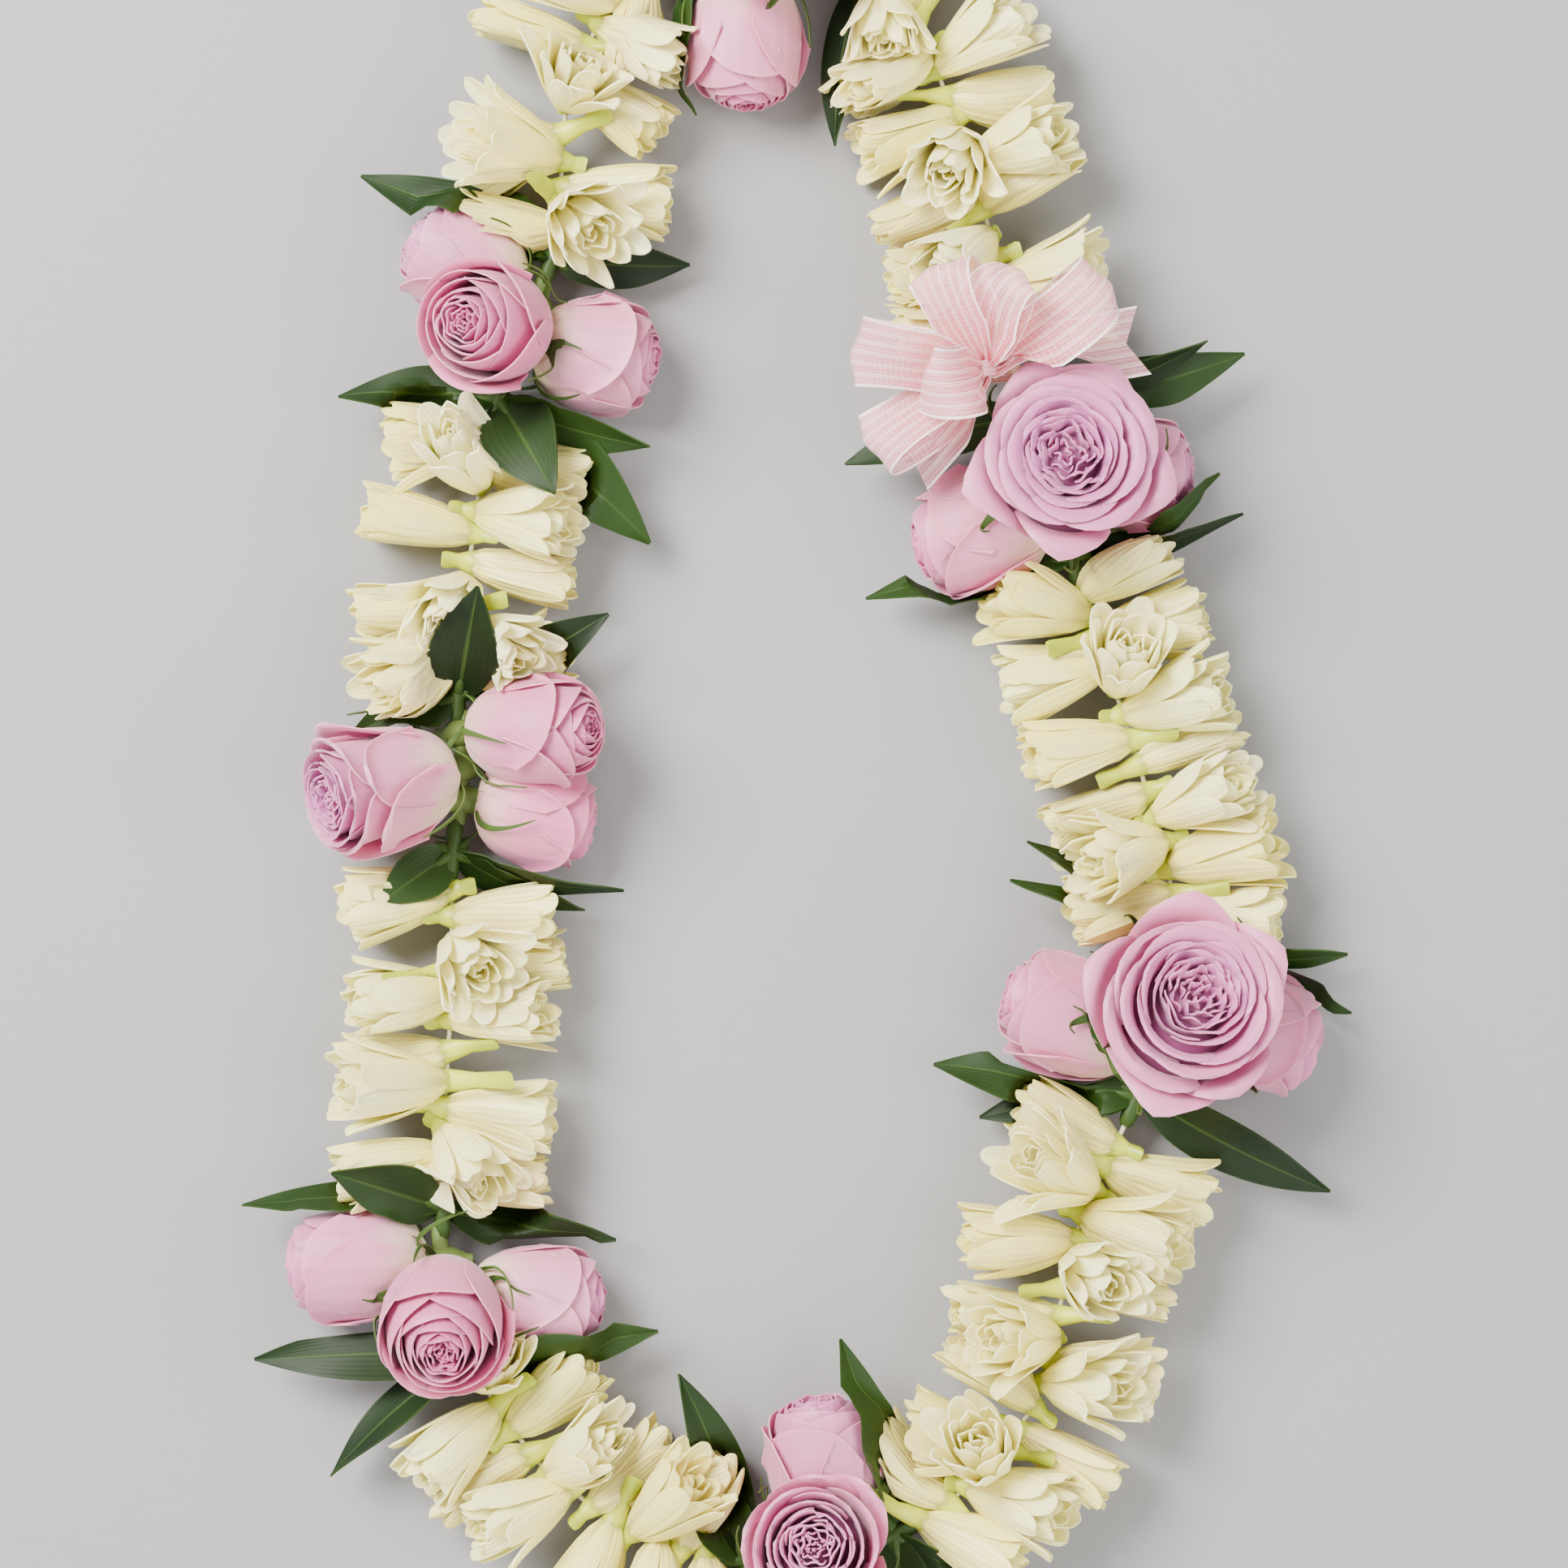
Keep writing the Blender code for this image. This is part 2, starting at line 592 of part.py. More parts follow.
def rose_outline(height, radius, openness):
    """Radius and height of a plain shape a gap outside one rose."""
    if openness < WIDE_OPEN:
        outline = [(ROSE_BASE, 0), (between(*BUD_WAISTS, openness), 0.22), *BUD_OUTLINE]
    else:
        outline = [(ROSE_BASE, 0), *BLOOM_OUTLINE]
    outline = [(radius * wide + 2 * GAP, height * up) for wide, up in outline]
    return [(outline[0][0], -GAP), *outline[1:-1], (outline[-1][0], outline[-1][1] + GAP)]


def rose_room(station, aim, rise, *shape):
    """A plain closed shape round one rose, to keep others clear of it."""
    bm = bmesh.new()
    corner = math.cos(math.pi / ROSE_COLUMNS)
    rings = [ring(bm, circle(ROSE_COLUMNS, wide / corner, up)) for wide, up in rose_outline(*shape)]
    close_ring(bm, rings[0])
    for lower, upper in zip(rings, rings[1:]):
        band(bm, lower, upper)
    close_ring(bm, rings[-1][::-1])
    return finished(bm, "rose_room", rose_frame(station, aim, rise))


def calyx(station, aim, rise, *shape):
    """A rose's hip, pierced by the thread, and five sepals close under its petals."""
    (start, bottom), (end, top) = rose_outline(*shape)[:2]
    reach = start + (end - start) * SEPAL_SHARE
    tip_height = HEAD_START + HEAD_GAP + bottom + (top - bottom) * SEPAL_SHARE - SEPAL_DROP
    bm = bmesh.new()
    lower = ring(bm, circle(SEPALS, HIP_RADIUS, -HIP_HALF))
    corners = []
    for k in range(SEPALS):
        for wide, turn in ((SHOULDER_RADIUS, 0), (SHOULDER_NOTCH, 0.5)):
            angle = math.tau * (k + turn) / SEPALS
            corners.append((wide * math.cos(angle), wide * math.sin(angle), HEAD_START - SEPAL_THICKNESS))
    shoulder = ring(bm, corners)
    rim = ring(bm, [(x, y, HEAD_START) for x, y, _ in corners])
    close_ring(bm, lower)
    band(bm, lower, shoulder)
    for k in range(SEPALS):
        angle = math.tau * k / SEPALS
        tip = bm.verts.new((reach * math.cos(angle), reach * math.sin(angle), tip_height))
        left, middle, right = 2 * k - 1, 2 * k, 2 * k + 1
        for a, b in ((left, middle), (middle, right)):
            bm.faces.new((shoulder[a], shoulder[b], tip))
            bm.faces.new((rim[b], rim[a], tip))
        bm.faces.new((shoulder[left], tip, rim[left]))
        bm.faces.new((tip, shoulder[right], rim[right]))
    close_ring(bm, rim[::-1])
    return finished(bm, "calyx", standing_frame(thread_at(station), pointing(aim, rise), 53 * station))


def leaf(station, aim, rise, length, width, roll):
    """One leaf: a thin arched blade with a folded midrib and a pointed tip."""
    bm = bmesh.new()
    sides = []
    for face in (0.5, -0.5):
        grid = []
        for along, half in LEAF_ROWS:
            z, edge = along * length, half * width
            lift = LEAF_ARCH * length * math.sin(math.pi * along) + face * LEAF_THICKNESS
            folded = lift + LEAF_FOLD * edge
            grid.append(ring(bm, [(folded, -edge, z), (lift, 0, z), (folded, edge, z)]))
        sides.append((grid, bm.verts.new((face * LEAF_THICKNESS * 0.8 - LEAF_DROOP * length, 0, length))))
    for grid, tip in sides:
        for a, b in zip(grid, grid[1:]):
            for c in (0, 1):
                bm.faces.new((a[c], a[c + 1], b[c + 1]))
                bm.faces.new((a[c], b[c + 1], b[c]))
        for c in (0, 1):
            bm.faces.new((grid[-1][c], grid[-1][c + 1], tip))
    outlines = []
    for grid, tip in sides:
        outlines.append([*grid[0], grid[1][2], grid[2][2], tip, grid[2][0], grid[1][0]])
    top, bottom = outlines
    for k in range(len(top)):
        after = (k + 1) % len(top)
        bm.faces.new((top[k], top[after], bottom[after]))
        bm.faces.new((top[k], bottom[after], bottom[k]))
    axis = pointing(aim, rise)
    return finished(bm, "leaf", standing_frame(thread_at(station), axis, roll))


# The ribbon bow


def ribbon(points, widths, sideways, thickness):
    """A ribbon of some thickness along a line of points."""
    bm = bmesh.new()
    rows = []
    for k, (point, width) in enumerate(zip(points, widths)):
        before, after = points[max(k - 1, 0)], points[min(k + 1, len(points) - 1)]
        out = (after - before).normalized().cross(sideways).normalized() * thickness / 2
        half = sideways * width / 2
        corners = [(-1, -1), (1, -1), (1, 1), (-1, 1)]
        rows.append(ring(bm, [point + half * across + out * through for across, through in corners]))
    close_ring(bm, rows[0])
    for lower, upper in zip(rows, rows[1:]):
        band(bm, lower, upper)
    close_ring(bm, rows[-1][::-1])
    return finished(bm, "ribbon")


def bow_centre():
    inward = Vector((0, 0, 1)).cross(travel_at(BOW_STATION))
    place = thread_at(BOW_STATION) + inward * BOW_INWARD
    place.z = BOW_HEIGHT
    return place


def bow():
    """Loops and tails of ribbon from one knot, and its band round the thread."""
    centre = bow_centre()
    pieces = [bow_tie(centre)]
    for aim, rise, length, spread in BOW_LOOPS:
        out = pointing(aim, rise)
        sideways = out.cross(Vector((0, 0, 1))).normalized()
        over = sideways.cross(out).normalized()
        start = 0.55 * BOW_KNOT_RADIUS
        points, widths = [], []
        for k in range(LOOP_STEPS + 1):
            turn = math.tau * k / LOOP_STEPS
            share = (1 - math.cos(turn)) / 2
            aside = spread * math.sin(turn) * share**0.4
            if k in (0, LOOP_STEPS):
                aside = 1.0 - 2.0 * k / LOOP_STEPS
            points.append(centre + out * (start + (length - start) * share) + over * aside)
            widths.append(RIBBON_NECK + (RIBBON_WIDTH - RIBBON_NECK) * min(1, LOOP_SPREADING * share))
        pieces.append(ribbon(points, widths, sideways, RIBBON_THICKNESS))
    for aim, rise, length in BOW_TAILS:
        out = pointing(aim, rise)
        sideways = out.cross(Vector((0, 0, 1))).normalized()
        points, widths = [], []
        for share in TAIL_SHARES:
            points.append(centre + out * length * share - Vector((0, 0, TAIL_DROP * share**2)))
            widths.append(RIBBON_NECK + (RIBBON_WIDTH - RIBBON_NECK) * min(1, TAIL_SPREADING * share))
        pieces.append(ribbon(points, widths, sideways, RIBBON_THICKNESS))
    bm = bmesh.new()
    bmesh.ops.create_icosphere(bm, subdivisions=1, radius=BOW_KNOT_RADIUS)
    return [finished(bm, "bow_knot", Matrix.Translation(centre))] + pieces


def bow_tie(centre):
    """The ribbon's own band, down from the bow and once round the thread."""
    travel = travel_at(BOW_STATION)
    thread = thread_at(BOW_STATION)
    up = (centre - thread).normalized()
    aside = travel.cross(up).normalized()
    reach = (centre - thread).length - 0.4 * BOW_KNOT_RADIUS
    half = KNOT_RADIUS + TIE_THICKNESS
    line = [
        (-TIE_SPREAD, reach), (-half, 0.0), (-half * 0.7, -half * 0.7), (0, -half),
        (half * 0.7, -half * 0.7), (half, 0.0), (TIE_SPREAD, reach),
    ]
    points = [thread + aside * x + up * z for x, z in line]
    return ribbon(points, [TIE_WIDTH] * len(points), travel, TIE_THICKNESS)


# The garland


def pressed(thing, start, end):
    """Presses a shape in softly between two stations of the thread, clear of both."""
    for station, sign in ((start, 1), (end, -1)):
        place, travel = thread_at(station), travel_at(station) * sign
        for vertex in thing.data.vertices:
            room = (vertex.co / MM - place).dot(travel)
            if room < PRESS:
                soft = PRESS - PRESS_MARGIN
                kept = PRESS_MARGIN + soft * math.exp((room - PRESS) / soft)
                vertex.co += travel * (kept - room) * MM
    return thing


def bunch(flowers, start, end):
    """A bunch of tuberoses on a core along the thread, as pieces to be joined."""
    leans = [LEAN, *[0] * (len(flowers) - 2), -LEAN]
    heads = [pressed(tuberose(lean, *shape), start, end) for lean, shape in zip(leans, flowers)]
    first = max(start + GAP, flowers[0][0] - CORE_OVERHANG)
    last = min(end - GAP, flowers[-1][0] + CORE_OVERHANG)
    steps = max(1, round((last - first) / CORE_STEP))
    for k in range(steps):
        a, b = (first + (last - first) * share / steps for share in (k, k + 1))
        a, b = max(first, a - CORE_OVERLAP), min(last, b + CORE_OVERLAP)
        heads.append(short_tube(a, b, CORE_RADIUS, CORE_SIDES, "core"))
    return heads


def bunch_ends(bunches, number):
    """The two stations a bunch stays between."""
    flowers = bunches[number]
    ends = []
    for other, near_flower, step in ((number - 1, flowers[0], -1), (number + 1, flowers[-1], 1)):
        if 0 <= other < len(bunches):
            facing = bunches[other][-1 if step < 0 else 0]
            ends.append((near_flower[0] + facing[0]) / 2)
        else:
            ends.append(near_flower[0] + step * RUN_END)
    return ends


def all_nodes():
    """Each node's name, finish, pieces, and the shapes that keep others clear of it."""
    nodes = []
    rooms = {}
    for group, (station, blooms) in ROSE_GROUPS.items():
        for place, (offset, *shape) in zip(ROSE_PLACES, blooms):
            name = f"rose_{group}_{place}"
            rooms[name] = rose_room(station + offset, *shape)
            nodes.append((name, "rose", rose(station + offset, *shape), [rooms[name]]))
    for group, (station, blooms) in ROSE_GROUPS.items():
        hips = [calyx(station + offset, *shape) for offset, *shape in blooms]
        offsets = [offset for offset, *_ in blooms]
        ends = station + min(offsets), station + max(offsets)
        hips.append(short_tube(*ends, STEM_RADIUS, CORE_SIDES, "stems"))
        nodes.append((f"calyxes_{group}", "calyx", hips, None))
    nodes.append(("ribbon_bow", "ribbon", bow(), None))
    for name, (station, blades) in LEAF_COLLARS.items():
        leaves = [leaf(station + LEAF_STEP * k, *shape) for k, shape in enumerate(blades)]
        leaves.append(short_tube(station - HUB_HALF, station + HUB_HALF, HUB_RADIUS, HUB_SIDES, "hub"))
        nodes.append((f"leaves_{name}", "leaf", leaves, None))
    for run, bunches in TUBEROSES.items():
        for number, flowers in enumerate(bunches):
            start, end = bunch_ends(bunches, number)
            nodes.append((f"tuberoses_{run}{number + 1}", "tuberose", bunch(flowers, start, end), []))
    return nodes


def corners_of(thing):
    points = np.array([vertex.co for vertex in thing.data.vertices])
    return points.min(axis=0), points.max(axis=0)


def near(first, second):
    (low, high), (other_low, other_high) = first, second
    return bool(np.all(low <= other_high) and np.all(other_low <= high))


def floor_block():
    bm = bmesh.new()
    bmesh.ops.create_cube(bm, size=1)
    bmesh.ops.scale(bm, vec=FLOOR_SIZE, verts=bm.verts)
    return finished(bm, "floor_block", Matrix.Translation((0, 0, -FLOOR_SIZE[2] / 2)))


def clear_of(body, rooms, hole, floor):
    """Cuts the thread's hole, the surface below and all nearby shapes out of a body."""
    box = corners_of(body)
    cutters = [grown(hole, 0)]
    if box[0][2] < 0:
        cutters.append(grown(floor, 0))
    for owner, other_box, shape in rooms:
        if owner != body.name and near(box, other_box):
            cutters.append(grown(shape, 0))
    return combined(body, cutters, "DIFFERENCE")


def dressed(thing, material):
    """Gives a piece its material, and smooth shading where its faces nearly agree."""
    thing.data.materials.clear()
    thing.data.materials.append(material)
    thing.data.shade_smooth()
    thing.data.set_sharp_from_angle(angle=math.radians(SHARP_ANGLE))


def main():
    clear_scene()
    finishes = materials()
    thread = combined(thread_tube(THREAD_RADIUS, "thread", 2), [knot(KNOT_RADIUS)], "UNION")
    dressed(thread, finishes["thread"])
    hole = thread_tube(HOLE_RADIUS, "hole", 0)
    floor = floor_block()
    rooms = []
    for name, finish, pieces, shapes in all_nodes():
        if shapes is None:
            shapes = [grown(piece, GAP) for piece in pieces]
        body = combined(pieces[0], pieces[1:], "UNION")
        body.name = body.data.name = name
        joined = len(pieces) > 1
        largest_body(body)
        if joined:
            lighter(body, UNION_SHARE[finish])
        clear_of(body, rooms, hole, floor)
        largest_body(body)
        if joined:
            lighter(body, CUT_SHARE)
        dressed(body, finishes[finish])
        for shape in shapes:
            rooms.append((name, corners_of(shape), shape))
    for _, _, shape in rooms:
        bpy.data.objects.remove(shape)
    bpy.data.objects.remove(hole)
    bpy.data.objects.remove(floor)


main()
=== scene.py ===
# %% [markdown]
# # Dressing a flower garland
#
# A closed garland lies on a surface, seen from above: double tuberoses strung on a
# thread, seven groups of roses between collars of pointed leaves, and a sheer bow.
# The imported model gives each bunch, rose and leaf collar as a plain solid. This lesson
# grows the real petals, blades and ribbon in those places, then lights them.

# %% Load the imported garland
import math
import random

import bmesh
import bpy
import numpy as np
from mathutils import Matrix, Vector


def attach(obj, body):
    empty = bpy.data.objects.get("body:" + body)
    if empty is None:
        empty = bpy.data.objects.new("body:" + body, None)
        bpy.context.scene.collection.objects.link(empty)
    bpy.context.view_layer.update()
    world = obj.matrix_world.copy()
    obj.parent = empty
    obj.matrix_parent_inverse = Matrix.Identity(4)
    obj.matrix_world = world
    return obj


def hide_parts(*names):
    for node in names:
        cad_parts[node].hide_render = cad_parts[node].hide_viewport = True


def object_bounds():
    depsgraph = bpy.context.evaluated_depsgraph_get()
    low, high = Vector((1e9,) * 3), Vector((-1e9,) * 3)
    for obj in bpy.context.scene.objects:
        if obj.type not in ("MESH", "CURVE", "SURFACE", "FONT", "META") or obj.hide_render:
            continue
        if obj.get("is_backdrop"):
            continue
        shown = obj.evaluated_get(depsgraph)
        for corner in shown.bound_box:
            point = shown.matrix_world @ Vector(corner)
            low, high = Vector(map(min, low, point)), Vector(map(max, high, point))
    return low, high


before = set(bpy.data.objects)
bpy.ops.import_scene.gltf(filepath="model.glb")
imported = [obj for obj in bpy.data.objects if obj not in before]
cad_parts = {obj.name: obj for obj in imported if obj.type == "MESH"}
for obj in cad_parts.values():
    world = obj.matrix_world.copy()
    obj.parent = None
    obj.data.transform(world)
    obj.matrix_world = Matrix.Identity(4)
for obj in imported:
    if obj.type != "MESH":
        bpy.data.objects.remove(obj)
CAD_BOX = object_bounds()
MM = 0.001
print(len(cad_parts), "nodes loaded")

# %% [markdown]
# ## The thread's route
#
# On the real garland everything is strung on one thread, so each flower's place is a
# distance along it. The route repeats the points of the construction, and a
# smooth curve through them gives a place and a direction at any station.

# %% The thread's smooth route
ROUTE = [
    (-5, 216), (-33, 210), (-51, 194), (-58, 171), (-58, 146), (-67, 120), (-76, 94), (-81, 66),
    (-84, 41), (-85, 22), (-84, 4), (-87, -24), (-86, -49), (-88, -74), (-89, -100), (-88, -129),
    (-79, -156), (-62, -179), (-39, -195), (-16, -202), (8, -201), (32, -194), (55, -177),
    (68, -156), (72, -135), (78, -112), (88, -91), (99, -64), (102, -39), (99, -15), (92, 6),
    (86, 27), (78, 48), (71, 77), (61, 106), (56, 132), (52, 150), (45, 173), (36, 194), (20, 210),
]
MIDDLE = (3.0, 7.3)
THREAD_HEIGHT = 13.2
ROUTE_STEPS = 32


def smooth_route():
    """The closed route as points, and their distance along it."""
    corners = np.array(ROUTE, float) - np.array(MIDDLE)
    before, after, beyond = (np.roll(corners, turn, axis=0) for turn in (1, -1, -2))
    slope, fall = after - before, 2 * before - 5 * corners + 4 * after - beyond
    swing = 3 * corners - before - 3 * after + beyond
    shares = np.arange(ROUTE_STEPS)[None, :, None] / ROUTE_STEPS
    terms = (2 * corners, slope, fall, swing)
    points = sum(term[:, None] * shares**power for power, term in enumerate(terms)) / 2
    points = np.concatenate([points.reshape(-1, 2), points[0, :1]])
    steps = np.linalg.norm(np.diff(points, axis=0), axis=1)
    return points, np.concatenate([[0], np.cumsum(steps)])


ROUTE_POINTS, ROUTE_ARCS = smooth_route()


def thread_at(station):
    along = station % ROUTE_ARCS[-1]
    x, y = (np.interp(along, ROUTE_ARCS, ROUTE_POINTS[:, axis]) for axis in (0, 1))
    return Vector((x, y, THREAD_HEIGHT))


def travel_at(station):
    return (thread_at(station + 1) - thread_at(station - 1)).normalized()


print(f"thread {ROUTE_ARCS[-1]:.0f} mm round")

# %% [markdown]
# ## Where each flower and leaf sits
#
# A garland maker turns each bloom a little, so no two point the same way. These tables
# repeat the construction's: a station, an aim in plan, a rise above the surface, and
# the sizes of that bloom or blade. The finer petals then stay where the solids are.

# %% Tuberose bunches: station, aim, rise, openness, reach, tail
TUBEROSES = {
    "a": [
        [(26, 118, 15, 0.5, 30), (34, 268, 14, 0.5, 30, 14), (41, 152, 32, 0.5, 30),
         (48, 325, 22, 0.5, 30), (55, 184, 8, 0.5, 31)],
        [(63, 338, 8, 0.5, 29), (71, 60, 56, 0.9, 27), (79, 200, -2, 0.5, 29, 14), (86, 165, 22, 1.0, 32),
         (93, 352, 0, 0.5, 29), (98, 318, 52, 1.0, 27, 16), (104, 194, 4, 0.5, 29)],
    ],
    "b": [
        [(160, 176, 4, 0.5, 29), (168, 345, -4, 0.5, 29, 14), (174, 118, 50, 0.5, 27),
         (181, 350, 22, 0.5, 30), (187, 185, 6, 0.5, 32)],
        [(194, 5, 0, 0.5, 29), (200, 245, 56, 0.5, 27), (206, 188, 0, 0.5, 30, 12),
         (212, 332, 40, 0.6, 29), (218, 205, 26, 0.7, 31), (224, 2, -2, 0.5, 30)],
    ],
    "c": [
        [(280, 180, 8, 0.5, 30), (287, 358, 8, 0.5, 30), (294, 320, 56, 0.8, 27),
         (301, 8, 0, 0.5, 31, 18), (307, 186, 22, 0.5, 30), (314, 354, 22, 0.5, 30)],
        [(322, 184, -2, 0.5, 30, 14), (330, 182, 26, 0.7, 33, 20), (337, 352, 4, 0.5, 30, 12),
         (343, 312, 38, 0.6, 28), (349, 196, 10, 0.5, 30), (355, 350, -2, 0.5, 29)],
    ],
    "d": [
        [(410, 80, 50, 0.2, 25), (418, 222, 18, 0.5, 30, 14), (425, 40, 6, 0.5, 30),
         (433, 205, 0, 0.5, 30, 12), (440, 30, 34, 0.5, 30), (447, 210, 26, 0.5, 31, 14)],
        [(454, 50, 0, 0.5, 29), (461, 245, 8, 0.5, 31, 14), (467, 42, 30, 0.6, 32),
         (474, 262, 26, 0.6, 30), (480, 66, 0, 0.5, 29), (487, 285, 20, 0.5, 29)],
    ],
    "e": [
        [(545, 325, 14, 0.5, 31, 18), (553, 140, 0, 0.5, 29, 14), (560, 348, 30, 0.6, 31),
         (567, 112, 58, 0.7, 27), (574, 170, 6, 0.5, 30, 12), (580, 345, 0, 0.5, 30)],
        [(587, 148, 14, 0.5, 30), (594, 2, 38, 0.6, 30), (600, 345, 0, 0.5, 30), (606, 176, 44, 0.6, 28),
         (612, 172, 0, 0.5, 30, 14)],
        [(619, 352, 6, 0.5, 30, 12), (626, 335, 58, 0.5, 27), (632, 182, 8, 0.5, 31),
         (639, 342, 26, 0.5, 31), (646, 150, 38, 0.8, 31), (653, 335, 0, 0.5, 31, 12),
         (659, 148, 2, 0.6, 30)],
    ],
    "f": [
        [(720, 348, 12, 0.5, 30), (727, 190, 6, 0.5, 29, 14), (734, 18, 18, 0.7, 33),
         (741, 194, 34, 0.6, 30), (748, 25, 34, 0.7, 31), (755, 188, 2, 0.5, 30)],
        [(762, 10, 4, 0.5, 30, 12), (769, 192, 10, 0.5, 30, 12), (776, 16, 26, 0.5, 31),
         (783, 80, 56, 0.6, 27), (790, 194, 0, 0.5, 30, 14), (797, 12, 2, 0.5, 30, 14),
         (803, 166, 20, 0.6, 31), (809, 48, 14, 0.6, 29)],
    ],
    "g": [
        [(880, 350, -2, 0.5, 29), (886, 190, 2, 0.5, 31, 14), (893, 4, 16, 0.8, 31),
         (900, 196, 8, 0.5, 30), (906, 205, 42, 0.5, 28)],
        [(913, 36, 16, 0.7, 31, 12), (919, 212, -2, 0.5, 30, 12), (925, 18, 30, 0.6, 31),
         (932, 245, 56, 0.5, 27), (938, 198, 12, 0.8, 30), (944, 8, 0, 0.5, 29, 14)],
        [(951, 20, 24, 0.7, 31), (957, 215, 26, 0.5, 29), (964, 240, 4, 0.5, 30, 12),
         (970, 62, 12, 0.5, 30), (976, 260, 44, 0.5, 26)],
    ],
}
TAIL = 2.6
LEAN = 0.2
RUN_END = 12.0
print(sum(len(bunch) for run in TUBEROSES.values() for bunch in run), "tuberoses placed")

# %% Rose groups: station, then offset, aim, rise, height, radius, openness, warmth, paleness
ROSE_GROUPS = {
    "top": (0, [
        (0, 90, 80, 33, 18, 0.6, 0.5, 0.5), (-5.5, 92, 4, 34, 15.5, 0.2, 0.4, 0.5),
        (5.5, 270, 6, 35, 15.5, 0.15, 0.6, 0.7),
    ]),
    "left_high": (131, [
        (0, 190, 68, 31, 16.5, 0.45, 0.7, 0.2), (-6, 150, 6, 32, 14.5, 0.1, 0.1, 0.9),
        (6, 355, 7, 32, 15, 0.1, 0.5, 0.8),
    ]),
    "left_middle": (248, [
        (0, 193, 32, 38, 18.5, 0.75, 0.1, 0.9), (-9, 2, 30, 36, 14, 0.2, 0.7, 0.3),
        (8, 350, -2, 31, 14.5, 0.25, 0.9, 0.2),
    ]),
    "left_low": (382, [
        (0, 272, 68, 34, 17, 0.4, 0.7, 0.3), (-5, 183, 2, 36, 15.5, 0.2, 0.4, 0.6),
        (6, 2, 2, 35, 14.5, 0.15, 0.4, 0.9),
    ]),
    "bottom": (516, [
        (0, 92, 78, 33, 19, 0.65, 0.4, 0.3), (-5.5, 268, 4, 34, 15.5, 0.2, 0.5, 0.6),
        (5.5, 98, 6, 36, 16, 0.3, 0.3, 0.6),
    ]),
    "right_low": (693, [
        (0, 60, 76, 34, 26, 0.9, 0.3, 0.4), (5.5, 343, 3, 36, 15.5, 0.3, 0.4, 0.7),
        (-5.5, 162, 4, 38, 16, 0.25, 0.6, 0.6),
    ]),
    "right_high": (839, [
        (0, 60, 80, 34, 25, 1.0, 0.2, 0.3), (5.5, 356, 2, 33, 14.5, 0.15, 0.4, 0.7),
        (-5.5, 198, 2, 35, 16, 0.1, 0.7, 0.8),
    ]),
}
ROSE_PLACES = ("middle", "outer", "inner")
ROSES = {
    (group, place): (station + offset, *shape)
    for group, (station, blooms) in ROSE_GROUPS.items()
    for place, (offset, *shape) in zip(ROSE_PLACES, blooms)
}
HEAD_START = 5.8
WIDE_OPEN = 0.6
print(len(ROSES), "roses placed")

# %% Leaf collars: station, then aim, rise, length, width, roll
LEAF_COLLARS = {
    "top_a": (983, [(262, 2, 44, 15, 50), (74, 4, 46, 17, 20), (50, -8, 40, 15, 10)]),
    "top_b": (17, [(268, 6, 40, 14, 50), (103, 4, 46, 17, -20), (130, -8, 40, 15, 0)]),
    "left_high_a": (111, [(159, 6, 54, 16, 15), (140, 16, 34, 14, 40), (355, -6, 36, 14, 20)]),
    "left_high_b": (151, [
        (176, 4, 42, 15, 25), (302, 36, 36, 20, 0), (319, 2, 54, 20, 5), (344, 12, 42, 14, 40),
    ]),
    "left_middle_a": (229, [(76, 40, 36, 19, 0), (27, 14, 46, 16, 15), (200, 4, 30, 14, 20)]),
    "left_middle_b": (270, [(345, 2, 46, 13, 60), (335, -8, 38, 13, 50), (215, 22, 24, 14, 0)]),
    "left_low_a": (363, [(180, 6, 52, 14, 45), (156, 32, 34, 16, 0), (352, 4, 46, 15, 30)]),
    "left_low_b": (402, [(183, 0, 56, 15, 25), (222, 2, 48, 14, 50), (10, 6, 50, 17, 15)]),
    "bottom_a": (497, [(107, 4, 52, 15, 35), (122, 14, 36, 16, 20), (262, 4, 42, 16, 10)]),
    "bottom_b": (536, [(102, 8, 54, 17, 20), (336, 2, 38, 13, 55), (282, 4, 42, 16, 10)]),
    "right_low_a": (673, [(169, 2, 54, 18, 10), (186, -8, 42, 14, 30), (334, 2, 56, 16, 30)]),
    "right_low_b": (712, [
        (156, 4, 47, 13, 60), (142, 14, 50, 12, 60), (357, 2, 45, 14, 50), (338, -6, 50, 15, 35),
    ]),
    "right_high_a": (819, [(192, 0, 55, 15, 30), (14, 2, 46, 12, 62), (28, 12, 44, 12, 62)]),
    "right_high_b": (858, [(195, 2, 50, 15, 25), (13, 4, 58, 17, 15), (22, 14, 50, 13, 50)]),
}
LEAF_STEP = 0.3
print(sum(len(blades) for _, blades in LEAF_COLLARS.values()), "leaves placed")

# %% [markdown]
# ## Turning a bloom to its place
#
# Each bloom is modelled upright, growing along its own +Z from the thread, and is then
# laid in the direction it was strung. Working upright keeps the petal formulas simple:
# they are only a radius and a height.


# %% Directions and frames
def pointing(aim, rise):
    a, e = math.radians(aim), math.radians(rise)
    return Vector((math.cos(a) * math.cos(e), math.sin(a) * math.cos(e), math.sin(e)))


def standing_frame(place, axis, roll=0.0):
    """Takes local +Z to axis and local +X upwards, then turns it by roll."""
    side = axis.cross(Vector((0, 0, 1)))
    if side.length < 0.05:
        side = Vector((0, 1, 0))
    side.normalize()
    top = side.cross(axis).normalized()
    turned = Matrix((top, axis.cross(top), axis)).transposed().to_4x4()
    return Matrix.Translation(place) @ turned @ Matrix.Rotation(math.radians(roll), 4, "Z")


